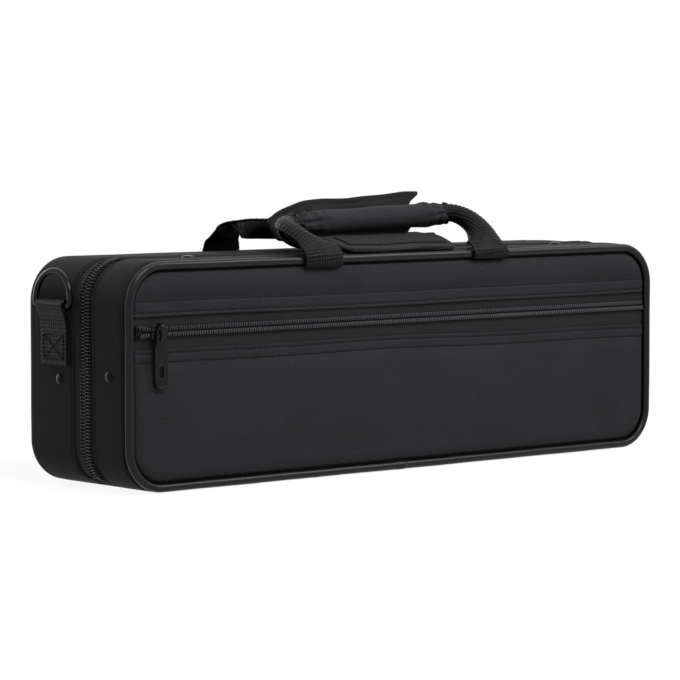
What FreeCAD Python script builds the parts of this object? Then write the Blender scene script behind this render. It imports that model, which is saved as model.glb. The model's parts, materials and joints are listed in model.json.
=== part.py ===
import FreeCAD, Part
import math
import os
import re

# A soft flute case in millimetres. X runs along the case, the pocket side faces -Y and +Z is up.
# The origin is the middle of the face that the case stands on.

os.makedirs("parts", exist_ok=True)
doc = FreeCAD.newDocument("FluteCase")
V = FreeCAD.Vector
X_AXIS = V(1, 0, 0)
Y_AXIS = V(0, 1, 0)
Z_AXIS = V(0, 0, 1)

# Driving dimensions
SIZES = {
    # whole case
    "case_length": 420.0,
    "case_height": 130.0,
    "case_depth": 90.0,
    "corner_radius": 25.0,
    "parting_offset": 7.5,
    "joint_gap": 0.3,
    "seam_gap": 0.1,
    "overrun": 5.0,
    # layers of a wall, from outside to inside
    "cover": 1.0,
    "board": 3.5,
    "lining": 1.2,
    # piping and gussets
    "piping_dia": 5.5,
    "piping_proud": 2.5,
    "hinge_seam_height": 5.0,
    # main zip
    "tape": 0.8,
    "tape_hidden_width": 6.0,
    "base_tape_shown": 6.6,
    "lid_tape_shown": 1.4,
    "main_coil_width": 4.9,
    "main_coil_proud": 0.9,
    # pocket on the lid
    "pocket_space": 4.6,
    "pocket_zip_height": 90.5,
    "top_panel_edge": 99.0,
    "pocket_panel_edge": 80.0,
    "pocket_coil_radius": 1.4,
    "pocket_coil_rise": 0.5,
    "pocket_zip_inset": 3.4,
    "stop_length": 2.6,
    # inside
    "insert_clearance": 0.3,
    "insert_setback": 7.7,
    "lid_pad": 8.0,
    "body_joint_length": 360.0,
    "body_joint_radius": 15.5,
    "head_joint_length": 220.0,
    "head_joint_radius": 12.5,
    "foot_joint_length": 130.0,
    "foot_joint_radius": 15.5,
    "trough_sink": 12.0,
    "trough_inset": 20.0,
    "upper_trough_height": 88.0,
    "lower_trough_height": 42.0,
    # rivets
    "rivet_radius": 3.6,
    "rivet_dome": 1.6,
    "rivet_shank_radius": 1.5,
    "rivet_hole_clearance": 0.05,
    "base_rivet_depth": 16.5,
    "base_rivet_height": 61.5,
    "lid_rivet_depth": 30.0,
    "lid_rivet_height": 65.5,
    "top_rivet_inset": 62.0,
    "top_rivet_depth": 22.0,
    # ring tabs and rings
    "ring_depth": 19.3,
    "ring_wire": 3.5,
    "ring_width": 36.5,
    "ring_height": 21.0,
    "ring_bar_height": 104.0,
    "ring_corner": 2.2,
    "tab_width": 25.0,
    "tab_layer": 1.5,
    "tab_bottom": 70.0,
    "tab_neck": 94.0,
    "running_clearance": 0.05,
    # sliders and pulls, for the small pocket zip
    "slider_length": 12.0,
    "slider_shell": 1.0,
    "slider_side_clearance": 0.4,
    "bridge_width": 2.2,
    "bridge_space": 2.3,
    "bridge_wall": 1.1,
    "pull_bar": 1.5,
    "pull_length": 32.0,
    "pull_width": 9.2,
    "pull_neck_width": 6.6,
    "pull_eye_width": 3.4,
    "pull_eye_length": 4.8,
    "main_slider_share": 1.15,
    "main_slider_height": 44.0,
    "pocket_slider_inset": 13.0,
    # handles
    "webbing_width": 28.0,
    "webbing": 1.6,
    "leg_spread": 67.0,
    "hinge_line_drop": 4.5,
    "front_rise": 25.0,
    "front_reach": 38.8,
    "front_left_drop": 3.4,
    "rear_rise": 18.0,
    "rear_reach": 21.0,
    "grip_radius": 7.2,
    "grip_sleeve": 0.95,
    "grip_bore": 5.6,
    "grip_length": 98.0,
    "grip_shift": 4.0,
    # wrap under and behind the grip
    "wrap_thickness": 2.5,
    "wrap_half_length": 50.0,
    "wrap_floor_width": 16.0,
    "wrap_floor_setback": 2.7,
    "front_flap_depth": 28.5,
    "back_flap_height": 22.6,
    "fastener_strip": 0.8,
    "fastener_strip_width": 15.0,
    "fastener_strip_length": 78.0,
}
# The leg of each handle from its foot to its middle, as shares of the spread, reach, rise, webbing
# width and webbing thickness, and the turn of the webbing's width from level to upright, in degrees.
FRONT_LEG_SHARES = (
    (1.00, 0.00, 0.00, 1.00, 1.0, 0.0),
    (1.00, 0.01, 0.22, 1.00, 1.0, 0.0),
    (1.01, 0.12, 0.46, 0.96, 1.0, 4.0),
    (1.03, 0.40, 0.75, 0.85, 1.1, 18.0),
    (1.01, 0.68, 0.97, 0.65, 1.4, 45.0),
    (0.94, 0.91, 1.06, 0.46, 1.9, 76.0),
    (0.85, 1.00, 1.00, 0.35, 2.1, 90.0),
)
REAR_LEG_SHARES = (
    (1.00, 0.00, 0.00, 1.00, 1.0, 0.0),
    (1.00, 0.01, 0.30, 1.00, 1.0, 2.0),
    (0.99, 0.14, 0.66, 0.96, 1.0, 14.0),
    (0.96, 0.48, 0.92, 0.90, 1.0, 38.0),
    (0.86, 0.84, 1.00, 0.88, 1.0, 66.0),
    (0.68, 1.00, 1.00, 0.92, 1.0, 88.0),
)
# Outlines of the two wrap flaps, as shares of the wrap's half length and of the flap's own depth.
FRONT_FLAP_SHARES = (
    (-0.90, 0.05), (-0.90, 0.74), (-0.87, 0.90), (-0.78, 1.00),
    (0.76, 1.00), (0.85, 0.93), (0.88, 0.80), (0.93, 0.05),
)
BACK_FLAP_SHARES = (
    (-1.18, -0.02), (-1.24, 0.32), (-1.14, 0.52), (-0.88, 0.76), (-0.50, 0.84),
    (0.20, 0.88), (1.13, 1.04), (0.94, 0.74), (0.92, -0.02),
)
BACK_FLAP_LEAN_SHARE = 0.22
# How far the flat side of each handle's webbing leans from level where it crosses, in degrees
FRONT_BAND_LEAN = 90.0
REAR_BAND_LEAN = 25.0

sheet = doc.addObject("Spreadsheet::Sheet", "Sizes")
for row, (alias, value) in enumerate(SIZES.items(), start=1):
    sheet.set(f"A{row}", alias)
    sheet.set(f"B{row}", str(value))
    sheet.setAlias(f"B{row}", alias)
doc.recompute()

# Places in depth that several pieces share, as formulas of the sheet's cells
FRONT = "-case_depth / 2"
BACK = "case_depth / 2"
LID_SEAM = "-case_depth / 2 - piping_proud + piping_dia + seam_gap"
BASE_SEAM = "case_depth / 2 + piping_proud - piping_dia - seam_gap"
LID_RIM = "-parting_offset - joint_gap / 2"
BASE_RIM = "-parting_offset + joint_gap / 2"
PANEL_MARGIN = "piping_dia + seam_gap"
LID_WALL = f"({FRONT}) + cover + pocket_space"
ZIP_START = f"-case_length / 2 + {PANEL_MARGIN} + pocket_zip_inset"
TOP_RIVET = "case_length / 2 - top_rivet_inset"
BASE_INSIDE = f"({BASE_SEAM}) - board"
LID_INSIDE = f"({LID_WALL}) + cover + board"
WALL = "cover + board"


def formula(text):
    """The text with each size's name led by the sheet's name."""
    return re.sub("[a-z_]+", lambda word: "Sizes." * (word.group() in SIZES) + word.group(), text)


def bind(item, **formulas):
    for name, text in formulas.items():
        item.setExpression(name, formula(text))


def place(item, x, y, z):
    for name, text in zip("xyz", (x, y, z)):
        item.setExpression(f"Placement.Base.{name}", formula(text))


def block(name, x, y, z, length, width, height):
    item = doc.addObject("Part::Box", name)
    bind(item, Length=length, Width=width, Height=height)
    place(item, x, y, z)
    return item


def rod(name, direction, x, y, z, radius, length):
    """A cylinder that starts at a place and runs along a direction."""
    item = doc.addObject("Part::Cylinder", name)
    bind(item, Radius=radius, Height=length)
    item.Placement = FreeCAD.Placement(V(), FreeCAD.Rotation(Z_AXIS, direction))
    place(item, x, y, z)
    return item


def round_block(name, margin, front, back):
    """The case's rounded outline, set in by a margin, between two depths."""
    body = doc.addObject("PartDesign::Body", name)
    box = body.newObject("PartDesign::AdditiveBox", f"{name}_box")
    bind(box, Length=f"case_length - 2 * ({margin})", Width=f"({back}) - ({front})")
    bind(box, Height=f"case_height - 2 * ({margin})")
    place(box, f"({margin}) - case_length / 2", front, margin)
    corners = body.newObject("PartDesign::Fillet", f"{name}_corners")
    corners.Base = (box, ["Edge2", "Edge4", "Edge6", "Edge8"])
    bind(corners, Radius=f"corner_radius - ({margin})")
    return body


def cut(name, base, *tools):
    """The base without the tools. The last cut carries the name."""
    for number, tool in enumerate(tools, start=1):
        item = doc.addObject("Part::Cut", name if number == len(tools) else f"{name}_step{number}")
        item.Base = base
        item.Tool = tool
        base = item
    return base


def common(name, base, tool):
    item = doc.addObject("Part::Common", name)
    item.Base = base
    item.Tool = tool
    return item


def fuse(name, *pieces):
    item = doc.addObject("Part::MultiFuse", name)
    item.Shapes = list(pieces)
    return item


def feature(name, shape):
    item = doc.addObject("Part::Feature", name)
    item.Shape = shape
    return item


def band(name, margin, thickness, front, back):
    """A band that runs all round the outline."""
    outer = round_block(f"{name}_outer", margin, front, back)
    inside = f"{margin} + {thickness}"
    inner = round_block(f"{name}_inner", inside, f"({front}) - overrun", f"({back}) + overrun")
    return cut(name, outer, inner)


def slab(name, low, high):
    """A slab as wide and deep as the case and more, between two heights."""
    width = "case_length + 2 * overrun"
    depth = "case_depth + 2 * overrun"
    return block(name, f"-({width}) / 2", f"-({depth}) / 2", low, width, depth, f"({high}) - ({low})")


def arch_band(name, margin, thickness, front, back, *holes):
    """A band up one end, over the top and down the other end, above the hinge seams."""
    ring = band(f"{name}_ring", margin, thickness, front, back)
    return cut(name, ring, slab(f"{name}_foot", "-overrun", "hinge_seam_height"), *holes)


def floor_band(name, margin, thickness, front, back):
    """The part of a band that lies under the case, up to the hinge seams."""
    ring = band(f"{name}_ring", margin, thickness, front, back)
    return common(name, ring, slab(f"{name}_part", "-overrun", "hinge_seam_height"))


def outline_wire(margin, depth):
    """The case's rounded outline as a wire at one depth."""
    half = sheet.case_length / 2 - margin
    top = sheet.case_height - margin
    radius = sheet.corner_radius - margin
    lean = radius * (1 - math.sqrt(0.5))
    corners = ((half, margin, 1, 1), (half, top, 1, -1), (-half, top, -1, -1), (-half, margin, -1, 1))
    stops = []
    for x, z, side, rise in corners:
        along = V(x - side * radius, depth, z)
        middle = V(x - side * lean, depth, z + rise * lean)
        upright = V(x, depth, z + rise * radius)
        stops.append((along, middle, upright) if side == rise else (upright, middle, along))
    edges = []
    for number, (start, middle, end) in enumerate(stops):
        edges.append(Part.Arc(start, middle, end).toShape())
        edges.append(Part.LineSegment(end, stops[(number + 1) % len(stops)][0]).toShape())
    return Part.Wire(edges)


def piping(name, side):
    """The covered cord sewn into the edge of the front or back face."""
    radius = sheet.piping_dia / 2
    depth = side * (sheet.case_depth / 2 + sheet.piping_proud - radius)
    path = outline_wire(radius, depth)
    start = path.Edges[1].Vertexes[0].Point
    ring = Part.Wire(Part.makeCircle(radius, start, path.Edges[1].tangentAt(0)))
    return feature(name, path.makePipeShell([ring], True, False))


def rivets(name, places):
    """Domed rivets, each at a place on the cover with its outward direction."""
    radius = (sheet.rivet_radius ** 2 + sheet.rivet_dome ** 2) / (2 * sheet.rivet_dome)
    sink = radius - sheet.rivet_dome
    rim_angle = math.degrees(math.asin(sink / radius))
    shank = sheet.cover + sheet.board
    solids = []
    for point, out in places:
        dome = Part.makeSphere(radius, point - out * sink, out, rim_angle, 90, 360)
        pin = Part.makeCylinder(sheet.rivet_shank_radius, shank, point, -out)
        solids.append(dome.fuse(pin).removeSplitter())
    return feature(name, Part.makeCompound(solids))


def ends_hole(name, depth, height):
    """A hole for the rivets at both ends of the case."""
    radius = "rivet_shank_radius + rivet_hole_clearance"
    return rod(name, X_AXIS, "-case_length / 2 - overrun", depth, height, radius, "case_length + 2 * overrun")


def top_hole(name, x):
    radius = "rivet_shank_radius + rivet_hole_clearance"
    return rod(name, Z_AXIS, x, "-top_rivet_depth", "case_height - 2 * overrun", radius, "3 * overrun")


# Back half of the case
base_piping = piping("base_piping", 1)
base_back_panel = round_block("base_back_panel", PANEL_MARGIN, f"({BACK}) - cover", BACK)
base_back_padding = round_block("base_back_padding", PANEL_MARGIN, BASE_SEAM, f"({BACK}) - cover")
base_gusset = arch_band(
    "base_gusset", "0", "cover", "-parting_offset + main_coil_width + base_tape_shown", BASE_SEAM,
    ends_hole("base_gusset_hole", "base_rivet_depth", "base_rivet_height"),
)
base_hinge_gusset = floor_band("base_hinge_gusset", "0", "cover", BASE_RIM, BASE_SEAM)
base_zip_tape = arch_band(
    "base_zip_tape", "cover", "tape", BASE_RIM,
    "-parting_offset + main_coil_width + base_tape_shown + tape_hidden_width",
)
base_zip_coil = arch_band(
    "base_zip_coil", "-main_coil_proud", "main_coil_proud + cover",
    BASE_RIM, "-parting_offset + main_coil_width",
)
base_board = cut(
    "base_board",
    round_block("base_board_outer", "cover", BASE_RIM, BASE_SEAM),
    round_block("base_board_inner", WALL, f"({BASE_RIM}) - overrun", BASE_INSIDE),
    arch_band(
        "base_board_rebate", "0", "cover + tape", f"({BASE_RIM}) - overrun",
        "-parting_offset + main_coil_width + base_tape_shown + tape_hidden_width",
    ),
    ends_hole("base_board_hole", "base_rivet_depth", "base_rivet_height"),
)
base_lining = cut(
    "base_lining",
    round_block("base_lining_outer", WALL, BASE_RIM, BASE_INSIDE),
    round_block(
        "base_lining_inner", f"{WALL} + lining", f"({BASE_RIM}) - overrun", f"({BASE_INSIDE}) - lining",
    ),
)
end = V(sheet.case_length / 2, sheet.base_rivet_depth, sheet.base_rivet_height)
base_rivets = rivets("base_rivets", ((end, X_AXIS), (V(-end.x, end.y, end.z), -X_AXIS)))


def trough(name, x, length, radius, height):
    """A round-bottomed recess that opens towards the lid."""
    face = "-parting_offset + insert_setback"
    return fuse(
        name,
        rod(f"{name}_round", X_AXIS, x, f"{face} + trough_sink", height, radius, length),
        block(
            f"{name}_mouth", x, f"{face} - overrun", f"{height} - {radius}",
            length, "trough_sink + overrun", f"2 * {radius}",
        ),
    )


INSERT_MARGIN = f"{WALL} + lining + insert_clearance"
TROUGH_START = f"-case_length / 2 + {INSERT_MARGIN} + trough_inset"
TROUGH_STOP = f"case_length / 2 - ({INSERT_MARGIN} + trough_inset)"
flute_insert = cut(
    "flute_insert",
    round_block(
        "flute_insert_block", INSERT_MARGIN, "-parting_offset + insert_setback",
        f"({BASE_INSIDE}) - lining - insert_clearance",
    ),
    trough("body_trough", TROUGH_START, "body_joint_length", "body_joint_radius", "upper_trough_height"),
    trough("head_trough", TROUGH_START, "head_joint_length", "head_joint_radius", "lower_trough_height"),
    trough(
        "foot_trough", f"{TROUGH_STOP} - foot_joint_length", "foot_joint_length", "foot_joint_radius",
        "lower_trough_height",
    ),
)

# Front half of the case, which is the lid
lid_piping = piping("lid_piping", -1)
lid_rivet_holes = [
    ends_hole("lid_end_hole", "-lid_rivet_depth", "lid_rivet_height"),
    top_hole("lid_left_hole", f"-({TOP_RIVET})"),
    top_hole("lid_right_hole", TOP_RIVET),
]
lid_gusset = arch_band(
    "lid_gusset", "0", "cover", LID_SEAM, "-parting_offset - main_coil_width - lid_tape_shown",
    *lid_rivet_holes,
)
lid_hinge_gusset = floor_band("lid_hinge_gusset", "0", "cover", LID_SEAM, LID_RIM)
lid_zip_tape = arch_band(
    "lid_zip_tape", "cover", "tape",
    "-parting_offset - main_coil_width - lid_tape_shown - tape_hidden_width", LID_RIM,
)
lid_zip_coil = arch_band(
    "lid_zip_coil", "-main_coil_proud", "main_coil_proud + cover",
    "-parting_offset - main_coil_width", LID_RIM,
)
lid_wall_cover = round_block("lid_wall_cover", "cover", LID_WALL, f"({LID_WALL}) + cover")
lid_board = cut(
    "lid_board",
    round_block("lid_board_outer", "cover", f"({LID_WALL}) + cover", LID_RIM),
    round_block("lid_board_inner", WALL, LID_INSIDE, f"({LID_RIM}) + overrun"),
    arch_band(
        "lid_board_rebate", "0", "cover + tape",
        "-parting_offset - main_coil_width - lid_tape_shown - tape_hidden_width", f"({LID_RIM}) + overrun",
    ),
    *lid_rivet_holes,
)
lid_lining = cut(
    "lid_lining",
    round_block("lid_lining_outer", WALL, LID_INSIDE, LID_RIM),
    round_block("lid_lining_inner", f"{WALL} + lining", f"({LID_INSIDE}) + lining", f"({LID_RIM}) + overrun"),
)
lid_pad = round_block(
    "lid_pad", INSERT_MARGIN, f"({LID_INSIDE}) + lining + insert_clearance",
    f"({LID_INSIDE}) + lining + insert_clearance + lid_pad",
)
end = V(sheet.case_length / 2, -sheet.lid_rivet_depth, sheet.lid_rivet_height)
top = V(sheet.case_length / 2 - sheet.top_rivet_inset, -sheet.top_rivet_depth, sheet.case_height)
lid_rivets = rivets("lid_rivets", (
    (end, X_AXIS), (V(-end.x, end.y, end.z), -X_AXIS), (top, Z_AXIS), (V(-top.x, top.y, top.z), Z_AXIS),
))

# Pocket on the lid: two panels, two zip tapes, two coil rows and their end stops
pocket_top_panel = common(
    "pocket_top_panel",
    round_block("pocket_top_panel_sheet", PANEL_MARGIN, FRONT, f"({FRONT}) + cover"),
    slab("pocket_top_panel_part", "top_panel_edge", "case_height + overrun"),
)
pocket_panel = common(
    "pocket_panel",
    round_block("pocket_panel_sheet", PANEL_MARGIN, FRONT, f"({FRONT}) + cover"),
    slab("pocket_panel_part", "-overrun", "pocket_panel_edge"),
)


def pocket_tape(name, low, high):
    return common(
        name,
        round_block(f"{name}_sheet", PANEL_MARGIN, f"({FRONT}) + cover", f"({FRONT}) + cover + tape"),
        slab(f"{name}_part", low, high),
    )


def pocket_coil(name, side):
    """One row of the pocket's coil, a bar flattened where it lies on its tape."""
    height = f"pocket_zip_height + ({side}) * (pocket_coil_radius + seam_gap / 2)"
    depth = f"({FRONT}) + cover - pocket_coil_rise"
    bar = rod(
        f"{name}_bar", X_AXIS, ZIP_START, depth, height, "pocket_coil_radius",
        f"case_length - 2 * ({PANEL_MARGIN}) - pocket_zip_inset",
    )
    behind = slab(f"{name}_behind", "pocket_zip_height - overrun", "pocket_zip_height + overrun")
    place(behind, "-case_length / 2 - overrun", f"({FRONT}) + cover", "pocket_zip_height - overrun")
    return cut(name, bar, behind)


pocket_tape_upper = pocket_tape(
    "pocket_tape_upper", "pocket_zip_height + seam_gap / 2", "top_panel_edge + overrun",
)
pocket_tape_lower = pocket_tape(
    "pocket_tape_lower", "pocket_panel_edge - overrun", "pocket_zip_height - seam_gap / 2",
)
pocket_coil_upper = pocket_coil("pocket_coil_upper", 1)
pocket_coil_lower = pocket_coil("pocket_coil_lower", -1)


def stop_clip(name, side):
    """A clip crimped over the end of one coil row."""
    width = "2 * pocket_coil_radius"
    middle = f"pocket_zip_height + ({side}) * (pocket_coil_radius + seam_gap / 2)"
    proud = "pocket_coil_radius + pocket_coil_rise"
    return block(
        name, f"{ZIP_START} - stop_length", f"({FRONT}) + cover - ({proud})", f"{middle} - {width} / 2",
        "stop_length", proud, width,
    )


pocket_stops = doc.addObject("Part::Compound", "pocket_stops")
pocket_stops.Links = [stop_clip("pocket_stop_upper", 1), stop_clip("pocket_stop_lower", -1)]


def slider_shell(name, growth, channel, side_drops, along_bar):
    """A zip slider's outer shell about its own origin, where the pull's bar turns.

    +Z is outward from the case here. The bar runs along X, and the bridge crosses over it along Y.
    The channel is half the width of the coils, and the side drops are how far each side reaches in.
    The chain runs along the bar in a pocket slider and along the bridge in the main one.
    """
    shell = sheet.slider_shell * growth
    space = sheet.bridge_space * growth
    wall = sheet.bridge_wall * growth
    width = sheet.bridge_width * growth
    length = sheet.slider_length * growth
    side = channel + sheet.slider_side_clearance
    size = (length, 2 * (side + shell)) if along_bar else (2 * (side + shell), length)
    plate_top = -space / 2
    plate = Part.makeBox(size[0], size[1], shell, V(-size[0] / 2, -size[1] / 2, plate_top - shell))
    plate = plate.makeFillet(shell, [e for e in plate.Edges if abs(e.tangentAt(0).z) > 0.9])
    pieces = [plate]
    for sign, drop in zip((1, -1), side_drops):
        if drop > 0:
            low = plate_top - shell - drop
            if along_bar:
                rail = Part.makeBox(size[0] - 2 * shell, shell, drop, V(shell - size[0] / 2, -shell / 2, low))
                rail.translate(V(0, sign * (side + shell / 2), 0))
            else:
                rail = Part.makeBox(shell, size[1] - 2 * shell, drop, V(-shell / 2, shell - size[1] / 2, low))
                rail.translate(V(sign * (side + shell / 2), 0, 0))
            pieces.append(rail)
    reach = space + wall + wall
    arch = Part.makeBox(width, 2 * reach, space + wall, V(-width / 2, -reach, plate_top))
    crown = [e for e in arch.Edges if abs(e.tangentAt(0).x) > 0.9 and e.CenterOfMass.z > 0]
    arch = arch.makeFillet(wall, crown)
    hollow = Part.makeBox(2 * width, 2 * (reach - wall), space, V(-width, wall - reach, plate_top))
    pieces.append(arch.cut(hollow))
    return feature(name, pieces[0].multiFuse(pieces[1:]).removeSplitter())


def pull(name, growth):
    """A zip pull about its own origin, the middle of its bar. It hangs along -Y, flat in XY."""
    half = sheet.pull_bar * growth / 2
    neck = sheet.pull_neck_width * growth / 2
    wide = sheet.pull_width * growth / 2
    length = sheet.pull_length * growth
    eye = sheet.pull_eye_width * growth / 2
    eye_end = sheet.pull_eye_length * growth
    waist = eye_end + wide
    points = [V(-neck, half, 0), V(neck, half, 0), V(neck, -eye_end, 0), V(wide, -waist, 0)]
    points += [V(wide, wide - length, 0), V(-wide, wide - length, 0)]
    points += [V(-wide, -waist, 0), V(-neck, -eye_end, 0)]
    edges = [Part.LineSegment(a, b).toShape() for a, b in zip(points, points[1:] + points[:1])]
    edges[4] = Part.Arc(points[4], V(0, -length, 0), points[5]).toShape()
    plate = Part.Face(Part.Wire(edges)).extrude(V(0, 0, 2 * half))
    eye_hole = Part.makeBox(2 * eye, eye_end - half, 4 * half, V(-eye, -eye_end, -half))
    slot = Part.makeBox(2 * eye, 2 * half, 4 * half, V(-eye, 3 * wide - length, -half))
    hole = Part.makeCylinder(eye, 4 * half, V(0, wide - length, -half))
    return feature(name, plate.cut(eye_hole).cut(slot).cut(hole).removeSplitter())


def stand_on(item, point, out, up, lift=0.0):
    """Places an item whose own +Z is outward and own +Y is up, with a lift along its +Z."""
    turn = FreeCAD.Rotation(up.cross(out), up, out, "ZXY")
    item.Placement = FreeCAD.Placement(point + out * lift, turn)


# Pocket slider at the left end of its zip, and its pull
coil_crest = -sheet.case_depth / 2 + sheet.cover - sheet.pocket_coil_rise - sheet.pocket_coil_radius
bar_lift = sheet.joint_gap + sheet.slider_shell + sheet.bridge_space / 2
zip_start = -sheet.case_length / 2 + sheet.piping_dia + sheet.seam_gap + sheet.pocket_zip_inset
pocket_bar = V(zip_start + sheet.pocket_slider_inset, coil_crest - bar_lift, sheet.pocket_zip_height)
side_drop = sheet.pocket_coil_radius + sheet.pocket_coil_rise - sheet.joint_gap
channel = 2 * sheet.pocket_coil_radius + sheet.seam_gap / 2
pocket_slider = slider_shell("pocket_slider", 1, channel, (side_drop, side_drop), True)
stand_on(pocket_slider, pocket_bar, -Y_AXIS, Z_AXIS)
pocket_pull = pull("pocket_pull", 1)
stand_on(pocket_pull, pocket_bar, -Y_AXIS, Z_AXIS, -sheet.pull_bar / 2)

# Main slider at the foot of the right end, and its pull
growth = sheet.main_slider_share
main_lift = sheet.main_coil_proud + sheet.joint_gap + (sheet.slider_shell + sheet.bridge_space / 2) * growth
main_bar = V(sheet.case_length / 2 + main_lift, -sheet.parting_offset, sheet.main_slider_height)
main_drop = sheet.main_coil_proud + sheet.cover - sheet.joint_gap
main_slider = slider_shell("main_slider", growth, sheet.main_coil_width, (main_drop, 0), False)
stand_on(main_slider, main_bar, X_AXIS, Z_AXIS)
main_pull = pull("main_pull", growth)
stand_on(main_pull, main_bar, X_AXIS, Z_AXIS, -sheet.pull_bar * growth / 2)


def ring_bar_place(side):
    """The middle of a D-ring's bar at one end of the case."""
    out = sheet.tab_layer + sheet.ring_wire / 2 + sheet.running_clearance
    return V(side * (sheet.case_length / 2 + out), sheet.ring_depth, sheet.ring_bar_height)


def ring_tab(name, side):
    """A webbing loop sewn to the end of the case, folded over the ring's bar."""
    bar = ring_bar_place(side)
    wall = side * sheet.case_length / 2
    bore = sheet.ring_wire / 2 + sheet.running_clearance
    loop = bore + sheet.tab_layer
    outer = wall + side * 2 * sheet.tab_layer
    points = [V(wall, 0, sheet.tab_bottom), V(outer, 0, sheet.tab_bottom), V(outer, 0, sheet.tab_neck)]
    points += [V(bar.x + side * loop, 0, bar.z), V(wall, 0, bar.z)]
    edges = [Part.LineSegment(a, b).toShape() for a, b in zip(points, points[1:] + points[:1])]
    edges[3] = Part.Arc(points[3], V(bar.x, 0, bar.z + loop), points[4]).toShape()
    solid = Part.Face(Part.Wire(edges)).extrude(V(0, sheet.tab_width, 0))
    solid.translate(V(0, sheet.ring_depth - sheet.tab_width / 2, 0))
    hole = Part.makeCylinder(bore, 2 * sheet.tab_width, V(bar.x, bar.y - sheet.tab_width, bar.z), Y_AXIS)
    return feature(name, solid.cut(hole))


def ring(name, side):
    """A D-ring about the middle of its bar, standing up and leaning on the case."""
    wire = sheet.ring_wire / 2
    half = sheet.ring_width / 2 - wire
    corner = sheet.ring_corner
    crown = sheet.ring_height - wire
    lean = corner * (1 - math.sqrt(0.5))
    foot = [V(0, -half, corner), V(0, lean - half, lean), V(0, corner - half, 0)]
    shoulder = V(0, half, crown - half)
    mirror = [V(0, -p.y, p.z) for p in reversed(foot)]
    path = Part.Wire([
        Part.LineSegment(foot[2], mirror[0]).toShape(),
        Part.Arc(*mirror).toShape(),
        Part.LineSegment(mirror[2], shoulder).toShape(),
        Part.Arc(shoulder, V(0, 0, crown), V(0, -half, shoulder.z)).toShape(),
        Part.LineSegment(V(0, -half, shoulder.z), foot[0]).toShape(),
        Part.Arc(*foot).toShape(),
    ])
    profile = Part.Wire(Part.makeCircle(wire, V(0, 0, 0), Y_AXIS))
    item = feature(name, path.makePipeShell([profile], True, False))
    gap = sheet.tab_layer + sheet.running_clearance - sheet.joint_gap
    lean_angle = math.degrees(math.asin(gap / crown))
    item.Placement = FreeCAD.Placement(ring_bar_place(side), FreeCAD.Rotation(Y_AXIS, -side * lean_angle))
    return item


left_ring_tab = ring_tab("left_ring_tab", -1)
right_ring_tab = ring_tab("right_ring_tab", 1)
left_ring = ring("left_ring", -1)
right_ring = ring("right_ring", 1)


def leg_sections(shares, side, foot, reach, rise, lean):
    """Centres, width directions, widths and thicknesses down one leg of a handle."""
    sections = []
    for across, back, up, width, thick, turn in shares:
        centre = V(side * across * sheet.leg_spread, foot.y + back * reach, foot.z + up * rise)
        upright = V(0, -math.cos(lean) * math.copysign(1, foot.y), math.sin(lean))
        angle = math.radians(turn)
        wide = V(side * math.cos(angle), 0, 0) + upright * math.sin(angle)
        sections.append((centre, wide * (width * sheet.webbing_width / 2), thick * sheet.webbing / 2))
    return sections


def strap(name, left, right):
    """One webbing strap from its left foot over the grip to its right foot."""
    sections = left + right[::-1]
    centres = [section[0] for section in sections]
    wires = []
    last_wide = None
    for number, (centre, wide, thick) in enumerate(sections):
        run = centres[min(number + 1, len(centres) - 1)] - centres[max(number - 1, 0)]
        if last_wide is not None and wide.dot(last_wide) < 0:
            wide = -wide
        last_wide = wide
        off = run.cross(wide).normalize() * thick
        corners = [centre + wide + off, centre + wide - off, centre - wide - off, centre - wide + off]
        wires.append(Part.makePolygon(corners + corners[:1]))
    return feature(name, Part.makeLoft(wires, True, True))


def handle(name, shares, side, reach, rises, lean):
    """A handle whose feet hang over the piping of one face. The rises are for its left and right."""
    out = sheet.case_depth / 2 + sheet.piping_proud + sheet.joint_gap + sheet.webbing / 2
    foot = V(0, side * out, sheet.case_height - sheet.hinge_line_drop)
    legs = [leg_sections(shares, end, foot, -side * reach, rise, lean) for end, rise in zip((-1, 1), rises)]
    return strap(name, *legs)


front_handle_strap = handle(
    "front_handle_strap", FRONT_LEG_SHARES, -1, sheet.front_reach,
    (sheet.front_rise - sheet.front_left_drop, sheet.front_rise), math.radians(FRONT_BAND_LEAN),
)
rear_handle_strap = handle(
    "rear_handle_strap", REAR_LEG_SHARES, 1, sheet.rear_reach,
    (sheet.rear_rise, sheet.rear_rise), math.radians(REAR_BAND_LEAN),
)

# Grip on the front handle: a foam tube and its sleeve round the strap
foot_depth = -(sheet.case_depth / 2 + sheet.piping_proud + sheet.joint_gap + sheet.webbing / 2)
grip_depth = foot_depth + sheet.front_reach
hinge_line = sheet.case_height - sheet.hinge_line_drop
grip_height = hinge_line + sheet.front_rise - sheet.front_left_drop / 2
last_share = FRONT_LEG_SHARES[-1][0]
grip_run = V(2 * last_share * sheet.leg_spread, 0, sheet.front_left_drop).normalize()
grip_middle = V(0, grip_depth, grip_height) + grip_run * sheet.grip_shift


def grip_tube(name, outer, inner):
    start = grip_middle - grip_run * (sheet.grip_length / 2)
    solid = Part.makeCylinder(outer, sheet.grip_length, start, grip_run)
    return feature(name, solid.cut(Part.makeCylinder(inner, sheet.grip_length, start, grip_run)))


sleeve_bore = sheet.grip_radius - sheet.grip_sleeve
grip_sleeve = grip_tube("grip_sleeve", sheet.grip_radius, sleeve_bore)
grip_padding = grip_tube("grip_padding", sleeve_bore, sheet.grip_bore)

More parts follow.
